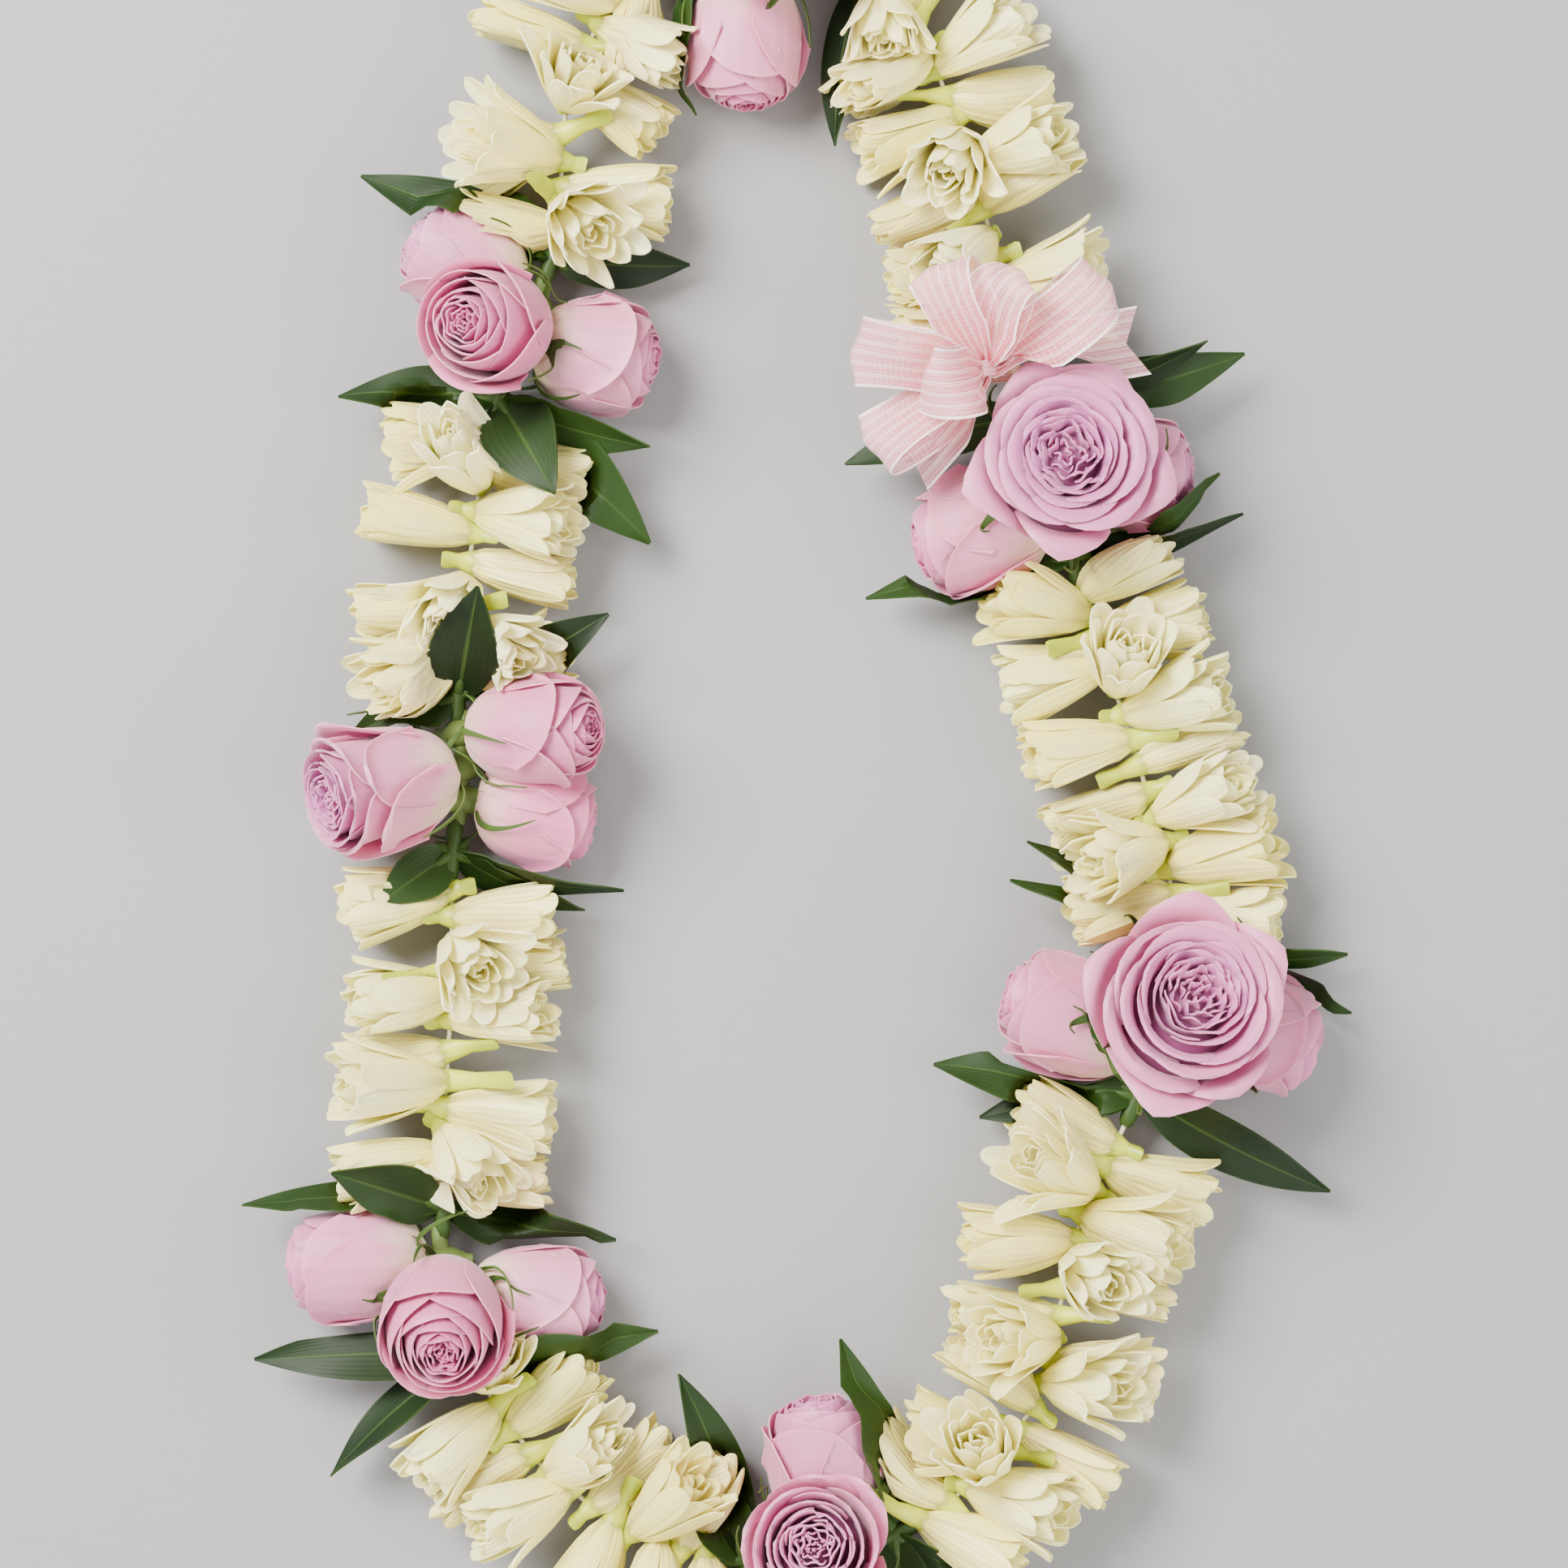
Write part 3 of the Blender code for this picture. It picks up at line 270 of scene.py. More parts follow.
def rose_frame(station, aim, rise):
    axis = pointing(aim, rise)
    return standing_frame(thread_at(station) + axis * HEAD_START, axis, 53 * station)


def moved(points, matrix):
    """Points as rows, taken through a 4 by 4 matrix."""
    matrix = np.array(matrix)
    return points @ matrix[:3, :3].T + matrix[:3, 3]


first, aim, rise, *_ = TUBEROSES["a"][0][0]
print(f"the tuberose at station {first} grows towards", tuple(round(x, 2) for x in pointing(aim, rise)))

# %% [markdown]
# ## Soft contact
#
# Packed flowers press on each other and on the surface below. A full simulation of two
# thousand petals isn't worth its time, so a few soft pushes stand for it: petals flatten
# on the surface, a bunch stays between its neighbours, two heads share the room between
# them, blooms keep under the raised leaves, low leaves pass under the blooms' heads, and
# whatever would run through a rose is bent round that rose's outline. All use one curve:
# distance that has run out is squeezed into a thin layer and never reverses.

# %% The squeeze that every push uses
FLOOR_SOFT = 3.0
FLOOR_MARGIN = 0.3
PRESS = 6.0
HEAD_PRESS = 4.0
OVERLAP = 2.4
GRIP = 7.0


def squeezed(room, soft):
    """Leaves room alone above soft, and packs all that is below it between 0 and soft."""
    return np.where(room < soft, soft * np.exp(np.minimum(room - soft, 0) / soft), room)


def off_the_floor(points):
    soft = FLOOR_SOFT - FLOOR_MARGIN
    points[:, 2] = FLOOR_MARGIN + squeezed(points[:, 2] - FLOOR_MARGIN, soft)
    return points


def between_stations(points, start, end):
    for station, sign in ((start, 1), (end, -1)):
        place, travel = np.array(thread_at(station)), np.array(travel_at(station)) * sign
        room = (points - place) @ travel
        points = points + np.outer(squeezed(room, PRESS) - room, travel)
    return points


def beside_heads(points, root, head, others):
    """Keeps a head on its own side of the planes half way to the next heads, upper over lower."""
    reach = np.linalg.norm(head - root)
    grip = np.clip((points - root) @ (head - root) / (reach * GRIP), 0, 1) ** 2
    for other in others:
        away = (head - other) * (1, 1, OVERLAP)
        away /= np.linalg.norm(away)
        room = (points - (head + other) / 2) @ away
        points = points + np.outer((squeezed(room, HEAD_PRESS) - room) * grip, away)
    return points


print("room of -4, 0, 4 and 8 mm becomes", squeezed(np.array([-4.0, 0, 4, 8]), HEAD_PRESS).round(1))


# %% Keeping clear of the roses
ROSE_SOFT = 2.5
ROSE_SPARE = 0.2
ROSE_NEAR = 48
NEVER_ZERO = 1e-6


def rose_room(station, aim, rise, height, radius, openness, *_):
    """A rose's frame, its inverse, and the heights and radii of its outline."""
    # Each corner is a share of the radius, then a share of the height.
    if openness < WIDE_OPEN:
        outline = [(0.42, 0), (1.02 - 0.16 * openness, 0.22), (1.02, 0.62), (0.99, 0.86), (0.50, 1.04)]
    else:
        outline = [(0.42, 0), (0.80, 0.20), (1.0, 0.62), (1.16, 0.86), (0.50, 1.04)]
    wide, tall = np.array(outline).T
    place = rose_frame(station, aim, rise)
    return place, place.inverted(), tall * height, wide * radius


def round_the_roses(points, rooms, spare=ROSE_SPARE, soft=ROSE_SOFT):
    for place, back, heights, radii in rooms:
        local = moved(points, back)
        limit = np.interp(local[:, 2], heights, radii + spare, left=0, right=0)
        away = np.hypot(local[:, 0], local[:, 1]) + NEVER_ZERO
        pushed = limit + squeezed(away - limit, soft)
        local[:, :2] *= np.where(limit > 0, pushed / away, 1)[:, None]
        points = moved(local, place)
    return points


ROSE_ROOMS = {name: rose_room(*bloom) for name, bloom in ROSES.items()}


def near(shapes, station, reach):
    """The shapes whose own frame, which comes first in each, lies near a station."""
    place = thread_at(station)
    return [shape for shape in shapes if (shape[0].translation - place).length < reach]


def near_rooms(station):
    return near(ROSE_ROOMS.values(), station, ROSE_NEAR)


print(len(ROSE_ROOMS), "outlines kept clear")


# %% Keeping under the raised leaves
RAISED = 20
BLADE_SPARE = 0.9
BLADE_START = 0.12
BLADE_NEAR = 50
LEAF_ARCH = 0.05
LEAF_DROOP = 0.02
LEAF_STALK = 0.07


def leaf_lift(length, along):
    """How high a blade arches over its straight line."""
    return LEAF_ARCH * length * np.sin(math.pi * np.clip(along, 0, 1)) - LEAF_DROOP * length * along**2


def leaf_half(width, along):
    """Half a blade's width: an oval that runs out to a long point."""
    along = np.clip(along, 0, 1)
    half = 0.5 * width * np.maximum(np.sin(math.pi * along**0.75), 0.02) ** 0.85
    return np.maximum(half, LEAF_STALK * width * (1 - along))


def leaf_habit(station, aim):
    """A leaf's own twist, sweep, wave's phase and tint."""
    draw = random.Random(int(station * 10) + aim)
    return draw.uniform(-0.4, 0.4), draw.uniform(-0.05, 0.05), draw.uniform(0, 6), draw.random()


def leaf_frame(station, aim, rise, roll):
    return standing_frame(thread_at(station), pointing(aim, rise), roll)


def raised_leaf(station, aim, rise, length, width, roll):
    return leaf_frame(station, aim, rise, roll), length, width, leaf_habit(station, aim)


RAISED_LEAVES = [
    raised_leaf(station + LEAF_STEP * k, *blade)
    for station, blades in LEAF_COLLARS.values() for k, blade in enumerate(blades) if blade[1] > RAISED
]


def under_the_leaves(points, leaves):
    """Presses a bloom down where a raised leaf lies over it."""
    for place, length, width, (twist, sweep, *_) in leaves:
        local = moved(points, place.inverted())
        along = local[:, 2] / length
        aside = local[:, 1] - sweep * length * along**2
        covered = (along > BLADE_START) & (along < 1)
        covered &= np.abs(aside) < leaf_half(width, along) + BLADE_SPARE
        room = leaf_lift(length, along) + aside * np.tan(twist * along**2) - BLADE_SPARE - local[:, 0]
        local[:, 0] += np.where(covered, room - squeezed(room, ROSE_SOFT), 0)
        points = moved(local, place)
    return points


print(len(RAISED_LEAVES), "raised leaves press on the blooms under them")

# %% [markdown]
# ## Growing petals from grids
#
# A petal is a thin sheet, so each one starts as a flat grid that a formula bends. Every
# point also keeps marks that the materials read later: how far along and across its
# petal it lies, how deep in the bloom, and the bloom's own tint. A wall is then given
# to all petals of a bloom at once, and round parts are spun from a profile.

# %% Grids that a formula bends
MARKS = ("along", "across", "depth", "tint", "pale")


def new_growth():
    bm = bmesh.new()
    for mark in MARKS:
        bm.verts.layers.float.new(mark)
    return bm


def marked(bm, verts, marks):
    for mark, values in marks.items():
        layer = bm.verts.layers.float[mark]
        for vert, value in zip(verts, np.broadcast_to(values, len(verts))):
            vert[layer] = value


def grow_blade(bm, columns, rows, shape, **marks):
    """Bends a grid by shape(across, along): across is -1 to 1, along 0 to 1."""
    verts = bmesh.ops.create_grid(bm, x_segments=columns, y_segments=rows, size=1)["verts"]
    flat = np.array([vert.co[:2] for vert in verts])
    across, along = flat[:, 0], (flat[:, 1] + 1) / 2
    for vert, place in zip(verts, shape(across, along)):
        vert.co = place
    marked(bm, verts, {"along": along, "across": across, **marks})
    return verts


print("marks on each point:", ", ".join(MARKS))


# %% Walls and turned parts
def give_walls(bm, thickness):
    """Doubles each sheet a wall apart, along its normals, and joins the two at their edges."""
    bm.normal_update()
    places = [(vert, vert.co - vert.normal * thickness) for vert in bm.verts]
    bmesh.ops.extrude_face_region(bm, geom=bm.faces[:], use_keep_orig=True)
    for vert, place in places:
        vert.co = place
    bmesh.ops.recalc_face_normals(bm, faces=bm.faces[:])


def turn_profile(bm, profile, steps, **marks):
    """Spins a closed solid from (radius, height) corners that start and end on the axis."""
    verts = [bm.verts.new((radius, 0, height)) for radius, height in profile]
    edges = [bm.edges.new(pair) for pair in zip(verts, verts[1:])]
    known = set(bm.verts) - set(verts)
    bmesh.ops.spin(
        bm, geom=verts + edges, cent=(0, 0, 0), axis=(0, 0, 1), angle=math.tau, steps=steps, use_merge=True
    )
    made = [vert for vert in bm.verts if vert not in known]
    bmesh.ops.remove_doubles(bm, verts=made, dist=0.001)
    made = [vert for vert in bm.verts if vert not in known]
    faces = list({face for vert in made for face in vert.link_faces})
    bmesh.ops.recalc_face_normals(bm, faces=faces)
    low, high = profile[0][1], profile[-1][1]
    marked(bm, made, {"along": [(vert.co.z - high) / (high - low) for vert in made], **marks})
    return made


print("a wall is laid on the side away from the normals")


# %% Bunches and their places
def add_to(whole, bm):
    """Moves a bloom into the bunch that it belongs to."""
    mesh = bpy.data.meshes.new("bloom")
    bm.to_mesh(mesh)
    bm.free()
    whole.from_mesh(mesh)
    bpy.data.meshes.remove(mesh)


def settle(bm, place, *pushes):
    """Lays a bloom in its place and applies the soft pushes."""
    points = moved(np.array([vert.co for vert in bm.verts]), place)
    for push in pushes:
        points = push(points)
    for vert, point in zip(bm.verts, off_the_floor(points)):
        vert.co = point


print("no point goes lower than", FLOOR_MARGIN, "mm")

# %% [markdown]
# ## From millimetres to a finished piece
#
# The shapes above are in millimetres, and the imported model is in metres. Each finished
# piece is scaled once, shaded smooth, takes its material, and stands for the plain solid
# of its node, which is hidden.


# %% Finishing a piece
SHARP_ANGLE = 50


def finished(bm, name, material, slot, *nodes):
    bmesh.ops.scale(bm, vec=(MM, MM, MM), verts=bm.verts)
    mesh = bpy.data.meshes.new(name)
    bm.to_mesh(mesh)
    bm.free()
    mesh.materials.append(material)
    mesh.shade_smooth()
    mesh.set_sharp_from_angle(angle=math.radians(SHARP_ANGLE))
    piece = bpy.data.objects.new(name, mesh)
    bpy.context.scene.collection.objects.link(piece)
    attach(piece, "root")
    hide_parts(*nodes)
    return piece


def cubic(stops, shares):
    """Places and directions along a curve with four (radius, height) stops."""
    a, b, c, d = (np.array(stop, float) for stop in stops)
    t = shares[:, None]
    place = (1 - t) ** 3 * a + 3 * (1 - t) ** 2 * t * b + 3 * (1 - t) * t**2 * c + t**3 * d
    slope = (1 - t) ** 2 * (b - a) + 2 * (1 - t) * t * (c - b) + t**2 * (d - c)
    return place, slope / np.linalg.norm(slope, axis=1, keepdims=True)


def mixed(first, second, share):
    return first + (second - first) * share


def crowded(along, power):
    """Crowds a grid's rows towards the tip, where a petal bends most."""
    return 1 - (1 - along) ** power


print("pieces are scaled by", MM)

# %% [markdown]
# ## Shader arithmetic
#
# Petals change colour from base to tip, so their materials are small sums over the
# marks. Wrapping a socket in a class lets such a sum be written as plain Python: each
# operator adds the Math node that does it. Colours go through Mix nodes, because a Math
# node would turn them grey.


# %% Sockets as numbers
class Amount:
    """A number that varies over a surface."""

    def __init__(self, finish, socket):
        self.finish, self.socket = finish, socket

    def math(self, operation, *others):
        values = dict(enumerate((self, *others)))
        return self.finish.node("ShaderNodeMath", {"operation": operation}, values)

    def __add__(self, other):
        return self.math("ADD", other)

    def __sub__(self, other):
        return self.math("SUBTRACT", other)

    def __rsub__(self, other):
        return self.finish.node("ShaderNodeMath", {"operation": "SUBTRACT"}, {0: other, 1: self})

    def __mul__(self, other):
        return self.math("MULTIPLY", other)

    def __abs__(self):
        return self.math("ABSOLUTE")

    __radd__ = __add__

    def sine(self):
        return self.math("SINE")

    def between(self, low, high):
        """0 below low, 1 above high, and smooth on the way."""
        values = {"Value": self, "From Min": low, "From Max": high}
        return self.finish.node("ShaderNodeMapRange", {"interpolation_type": "SMOOTHSTEP"}, values)


print("amounts add, subtract, multiply and bend")


# %% Finishes that hold them
class Finish:
    """A material whose look is built from Amounts."""

    def __init__(self, name, **constants):
        self.material = bpy.data.materials.new(name)
        self.material.use_nodes = True
        self.tree = self.material.node_tree
        self.shader = self.tree.nodes["Principled BSDF"]
        for socket, value in constants.items():
            self.shader.inputs[socket.replace("_", " ")].default_value = value

    def put(self, socket, value):
        if isinstance(value, Amount):
            self.tree.links.new(value.socket, socket)
        else:
            socket.default_value = value

    def node(self, kind, settings, inputs, output=0):
        made = self.tree.nodes.new(kind)
        for name, value in settings.items():
            setattr(made, name, value)
        for key, value in inputs.items():
            self.put(made.inputs[key], value)
        return Amount(self, made.outputs[output])

    def mark(self, name):
        return self.node("ShaderNodeAttribute", {"attribute_name": name}, {}, "Fac")

    def grain(self, scale):
        """Noise over the object's own coordinates, in metres."""
        place = self.node("ShaderNodeTexCoord", {}, {}, "Object")
        values = {"Vector": place, "Scale": scale, "Detail": 3.0}
        return self.node("ShaderNodeTexNoise", {}, values)

    def colour(self, share, first, second):
        values = {0: share, 6: first, 7: second}
        return self.node("ShaderNodeMix", {"data_type": "RGBA"}, values, 2)

    def look(self, **sockets):
        for socket, value in sockets.items():
            self.put(self.shader.inputs[socket.replace("_", " ")], value)

    def relief(self, height, distance, strength):
        values = {"Height": height, "Distance": distance, "Strength": strength}
        self.put(self.shader.inputs["Normal"], self.node("ShaderNodeBump", {}, values))


print("shader arithmetic ready")

# %% [markdown]
# ## Tuberose petals
#
# A double tuberose is ivory and waxy. Its tube is yellow-green, the throat is cream, and
# the outer petals may carry a peach blush. Fine lengthwise veins show in low light, so
# they are a faint shade and a shallow bump. A little light passes through the petals,
# which keeps the shadows between them warm, and the inner rings also carry a painted warm
# cream shade.

# %% The waxy ivory finish
TUBE_GREEN = (0.20, 0.30, 0.01, 1)
YELLOW_GREEN = (0.46, 0.54, 0.02, 1)
CREAM = (0.93, 0.80, 0.20, 1)
IVORY = (0.97, 0.86, 0.25, 1)
WHITE = (0.99, 0.94, 0.50, 1)
PEACH = (0.93, 0.60, 0.34, 1)

petal = Finish("waxy_ivory", Roughness=0.40, Subsurface_Weight=0.5, Subsurface_Scale=0.004)
petal.shader.inputs["Subsurface Radius"].default_value = (1.0, 0.8, 0.35)
along, across, depth, tint = (petal.mark(name) for name in ("along", "across", "depth", "tint"))
fleck = petal.grain(160)
body = petal.colour(tint.between(0.2, 0.9), IVORY, WHITE)
body = petal.colour(along.between(0.7, 0.05) * 0.8, body, CREAM)
# Painted warm shade: the deeper a ring lies in the bloom, the more cream it is painted.
body = petal.colour(depth.between(0.2, 1.0) * 0.35, body, CREAM)
blush = (0.3 - tint).between(0.0, 0.3) * (1 - depth) * fleck.between(0.35, 0.75)
body = petal.colour(blush * 0.75, body, PEACH)
veins = (across * 15 + fleck * 2).sine()
body = petal.colour(veins.between(0.2, 1.0) * 0.10, body, CREAM)
body = petal.colour((along + fleck * 0.15).between(0.26, -0.20) * 0.9, body, YELLOW_GREEN)
body = petal.colour((along + fleck * 0.3).between(-0.25, -1.0) * 0.7, body, TUBE_GREEN)
petal.look(Base_Color=body)
petal.relief(veins * 0.4 + fleck, 0.0004, 0.35)
ivory_petal = petal.material
print(ivory_petal.name, len(petal.tree.nodes), "nodes")

# %% [markdown]
# ## Rose petals
#
# These spray roses are a dusty lavender pink. Outer petals of a bud are pale, with a
# creamy green base. Warm roses turn raspberry towards the heart, and down inside all of
# them carry a painted dark mauve shade. Each rose has its own warmth and paleness, from the table above.

# %% The velvety rose finish
LAVENDER = (0.47, 0.12, 0.35, 1)
WARM_PINK = (0.62, 0.105, 0.255, 1)
BLUSH = (0.74, 0.285, 0.39, 1)
# The dark mauve below is painted shade for a rose's depths.
SHADE_MAUVE = (0.26, 0.06, 0.165, 1)
RASPBERRY = (0.54, 0.075, 0.22, 1)
GREEN_CREAM = (0.82, 0.76, 0.42, 1)

velvet = Finish("rose_velvet", Roughness=0.52, Subsurface_Weight=0.4, Subsurface_Scale=0.003)
velvet.shader.inputs["Subsurface Radius"].default_value = (1.0, 0.45, 0.6)
velvet.shader.inputs["Sheen Weight"].default_value = 0.2
along, across, depth, tint, pale = (velvet.mark(name) for name in MARKS)
fleck = velvet.grain(120)
body = velvet.colour(tint, LAVENDER, WARM_PINK)
outside = (1 - depth.between(0.0, 0.55)) * (0.25 + pale * 0.75)
body = velvet.colour(outside * 0.8, body, BLUSH)
rim = along.between(0.84, 1.0)
body = velvet.colour(rim * 0.35, body, BLUSH)
body = velvet.colour((0.42 - along + fleck * 0.2).between(0.0, 0.5) * outside, body, GREEN_CREAM)
body = velvet.colour(depth.between(0.3, 0.8) * tint.between(0.4, 0.7) * 0.6, body, RASPBERRY)
# Painted shade: deep in the rose and low on each petal, where shade falls between the petals, the colour
# darkens to mauve.
inside = depth.between(0.2, 0.8) * (1 - along).between(0.03, 0.40)
body = velvet.colour(inside * 0.88, body, SHADE_MAUVE)
veins = (across * 22 + fleck * 3).sine()
body = velvet.colour(veins.between(0.3, 1.0) * 0.10, body, LAVENDER)
velvet.look(Base_Color=body)
velvet.relief(veins * 0.3 + fleck, 0.0004, 0.3)
rose_velvet = velvet.material
print(rose_velvet.name, len(velvet.tree.nodes), "nodes")

# %% [markdown]
# ## Leaves and sepals
#
# The leaves are thick, smooth and deep green, with fine veins that run side by side from
# stalk to tip. Their slight gloss is a thin clear coat over a rougher body. Sepals and
# hips have no coat and are lighter, so they share the recipe with other numbers.

# %% The two green finishes
DEEP_GREEN = (0.002, 0.010, 0.001, 1)
LEAF_GREEN = (0.011, 0.034, 0.002, 1)
HIP_GREEN = (0.040, 0.085, 0.012, 1)
SEPAL_EDGE = (0.15, 0.21, 0.05, 1)


def green_finish(name, shade, light, edge, vein_count, **constants):
    green = Finish(name, **constants)
    along, across, tint = (green.mark(mark) for mark in ("along", "across", "tint"))
    fleck = green.grain(70)
    body = green.colour((tint * 0.7 + fleck * 0.5).between(0.2, 0.95), shade, light)
    veins = (across * vein_count + fleck).sine()
    body = green.colour(veins.between(0.4, 1.0) * 0.15, body, light)
    midrib = abs(across).between(0.10, 0.0)
    body = green.colour(midrib * 0.5, body, edge)
    body = green.colour(abs(across).between(0.94, 1.0) * 0.3, body, edge)
    green.look(Base_Color=body, Roughness=0.48 + fleck * 0.16)
    green.relief(veins * 0.15 - midrib * 2 + fleck * 0.6, 0.0003, 0.3)
    print(name, len(green.tree.nodes), "nodes")
    return green.material


leaf_gloss = green_finish(
    "leaf_gloss", DEEP_GREEN, LEAF_GREEN, HIP_GREEN, 34,
    Coat_Weight=0.06, Coat_Roughness=0.4, Specular_IOR_Level=0.20
)
hip_green = green_finish("hip_green", LEAF_GREEN, HIP_GREEN, SEPAL_EDGE, 9, Specular_IOR_Level=0.3)

# %% [markdown]
# ## A double tuberose
#
# A real bloom has a narrow tube that widens into about twenty petals in rings. The outer
# ring lies back, the next ones stand, and the heart curls in. Each ring is a loop over
# one petal formula: a curve gives its radius and height, and its width closes to a soft
# point. Small seeded changes keep two blooms from looking alike.

# %% One tuberose petal
PETAL_WALL = 0.5
PETAL_WIDEST = 0.66
PETAL_NECK = 0.50
PETAL_TIP = 0.50
PETAL_CROWDING = 1.5
PETAL_DROP = 0.035
PLEAT = 0.08
PLEATS = 4.5
EDGE_WAVE = 0.3
EDGE_WAVES = 3


def petal_width(along):
    """A share of the full width: narrow at the neck, closing to a soft point."""
    rise = np.minimum(along / PETAL_WIDEST, 1)
    fall = np.maximum((along - PETAL_WIDEST) / (1 - PETAL_WIDEST), 0)
    spread = PETAL_NECK + (1 - PETAL_NECK) * np.sin(rise * math.pi / 2)
    return spread * np.sqrt(1 - (1 - PETAL_TIP**2) * fall**2)


def tuberose_petal(turn, stops, half_width, cup, sway, phase):
    """A petal on a curve of radius and height, cupped and pleated across, with a wavy tip."""

    def shape(across, along):
        along = crowded(along, PETAL_CROWDING)
        reached = along - PETAL_DROP * across**2 * along**4
        (radius, height), (out, up) = (pair.T for pair in cubic(stops, reached))
        half = half_width * petal_width(along)
        inward = cup * half * across**2 - PLEAT * half * np.cos(across * PLEATS)
        inward = inward + EDGE_WAVE * along**2 * np.sin(EDGE_WAVES * across + phase + EDGE_WAVES * along)
        radius, height = radius - up * inward, height + out * inward
        aside = half * across + sway * along**2
        x = radius * math.cos(turn) - aside * math.sin(turn)
        y = radius * math.sin(turn) + aside * math.cos(turn)
        return np.column_stack([x, y, height])

    return shape


print("petal width half way:", round(float(petal_width(np.array([0.5]))[0]), 2))

# %% The rings and the tube of a tuberose
# Petals in the ring, then its share of the belly, how far the tips bend inwards, the share
# of the reach, half the width, the cup, and the rows of the petal's grid.
RINGS = [
    (6, 1.00, 0.10, 0.97, 4.3, 0.30, 8),
    (6, 0.87, 0.35, 1.02, 4.2, 0.38, 8),
    (5, 0.66, 0.60, 1.01, 3.9, 0.46, 7),
    (4, 0.46, 0.75, 0.97, 3.4, 0.55, 6),
    (3, 0.27, 0.85, 0.92, 2.7, 0.65, 5),
]
PETAL_COLUMNS = 4
ROUND_STEPS = 12
TAIL_RISE = 1.0
TAIL_TILT = 1.3
TAIL_SOFT = 6.0
SHORT_TAIL = 7.0
LOBE = 0.2
FACING_UP = 40
HEAD_SHARE = 0.62


def over_the_thread(points, place, axis):
    """Bends the tube behind the thread up over the flowers on the other side."""
    behind = np.maximum((np.array(place) - points) @ np.array(axis), 0)
    points[:, 2] += (TAIL_RISE + TAIL_TILT * max(axis.z, -0.1)) * behind**2 / (behind + TAIL_SOFT)
    return points


def tube_profile(reach, tail):
    return [
        (0, 0.7 - tail), (1.1, 0.2 - tail), (1.9, 0.1 - tail), (2.3, 1.2 - tail), (2.0, -0.45 * tail),
        (3.3, 0), (4.2, 0.10 * reach), (5.0, 0.20 * reach), (5.3, 0.28 * reach), (0, 0.30 * reach),
    ]


print(sum(ring[0] for ring in RINGS), "petals in each tuberose")

# %% One petal's curve
# Pairs are the lowest and the highest share that a seeded draw may give, or the two
# ends that the hood or the openness blends.
BELLY = 8.4
BELLY_OPENING = 2.4
TOP_SHARE = 1.03
TOP_OPENING = 0.14
NECK_RADIUS = 2.2
NECK_RING = 0.6
HOOD_OUT = (1.30, 0.50)
OPEN_OUT = (0.78, 1.25)
TIP_UP = (0.91, 1.03)
TIP_OUT = (0.84, 1.12)
PETAL_WIDTH = (0.88, 1.08)
TURN_DRAW = 0.16
SWAY_DRAW = 1.6
FLARE_OUT = 0.3
FLARE_DOWN = 0.07


def petal_stops(draw, wide, hood, high, openness, reach):
    """The corners of a petal's curve from neck to tip. Now and then one flares out."""
    belly, top = BELLY + BELLY_OPENING * openness, reach * (TOP_SHARE - TOP_OPENING * openness)
    flare = draw.random() ** 3
    body = belly * wide
    out = body * mixed(*HOOD_OUT, hood) * mixed(*OPEN_OUT, openness)
    up = top * high * draw.uniform(*TIP_UP) * (1 - FLARE_DOWN * flare)
    return [
        (NECK_RADIUS + NECK_RING * wide, 0),
        (body * 0.86, 0.20 * reach),
        (body * mixed(1.0, 1.14, hood), mixed(0.66, 0.82, hood) * top * high),
        (out * draw.uniform(*TIP_OUT) * (1 + FLARE_OUT * flare), up),
    ]


print("a half open bloom is", round(2 * (BELLY + BELLY_OPENING / 2), 1), "mm across its belly")

# %% A whole tuberose
OPENNESS_DRAW = 0.25
LEAST_OPEN = 0.15
OPENS_UPWARDS = 0.25
# Painted light: a bloom is painted whiter the more it rises, fully at this rise in degrees.
WHITENED_AT = 50


def tuberose(station, aim, rise, openness, reach, tail=None, lean=0.0, pushes=()):
    draw = random.Random(int(station * 10))
    bm = new_growth()
    tail = tail or (SHORT_TAIL if rise < FACING_UP else TAIL)
    axis = (pointing(aim, rise) + travel_at(station) * lean).normalized()
    openness = max(openness - draw.uniform(0, OPENNESS_DRAW), LEAST_OPEN) + OPENS_UPWARDS * max(axis.z, 0)
    # The tint is partly the bloom's own random tone and partly painted light, whiter as the bloom rises.
    tint = 0.45 * draw.random() + 0.55 * min(max(rise, 0) / WHITENED_AT, 1)
    for number, (count, wide, hood, high, half, cup, rows) in enumerate(RINGS):
        for k in range(count):
            turn = math.tau * (k + 0.5 * (number % 2)) / count + draw.uniform(-TURN_DRAW, TURN_DRAW)
            stops = petal_stops(draw, wide, hood, high, openness, reach)
            width = half * draw.uniform(*PETAL_WIDTH)
            sway = draw.uniform(-SWAY_DRAW, SWAY_DRAW)
            shape = tuberose_petal(turn, stops, width, cup, sway, draw.uniform(0, 6))
            grow_blade(bm, PETAL_COLUMNS, rows, shape, depth=number / (len(RINGS) - 1), tint=tint)
    give_walls(bm, PETAL_WALL)
    for vert in turn_profile(bm, tube_profile(reach, tail), ROUND_STEPS, depth=0, tint=tint):
        lobe = 1 + LOBE * math.cos(3 * math.atan2(vert.co.y, vert.co.x)) * min(max(-vert.co.z / tail, 0), 1)
        vert.co.x, vert.co.y = vert.co.x * lobe, vert.co.y * lobe
    place = thread_at(station)
    bent = [lambda points: over_the_thread(points, place, axis), *pushes]
    settle(bm, standing_frame(place, axis, 37 * station), *bent)
    return bm


print("a tube that lies flat ends", SHORT_TAIL, "mm behind the thread, one that stands", TAIL)

# %% [markdown]
# ## Bunches of tuberoses
#
# The construction divides each run between two rose groups into bunches. Every bloom of
# a bunch is pierced by the thread a few millimetres from the next one, and the ends of
# the bunch are pressed gently back between its neighbours.


# %% Where a bloom may spread
HEAD_ROOM = 20.0
BUNCH_LAP = 3


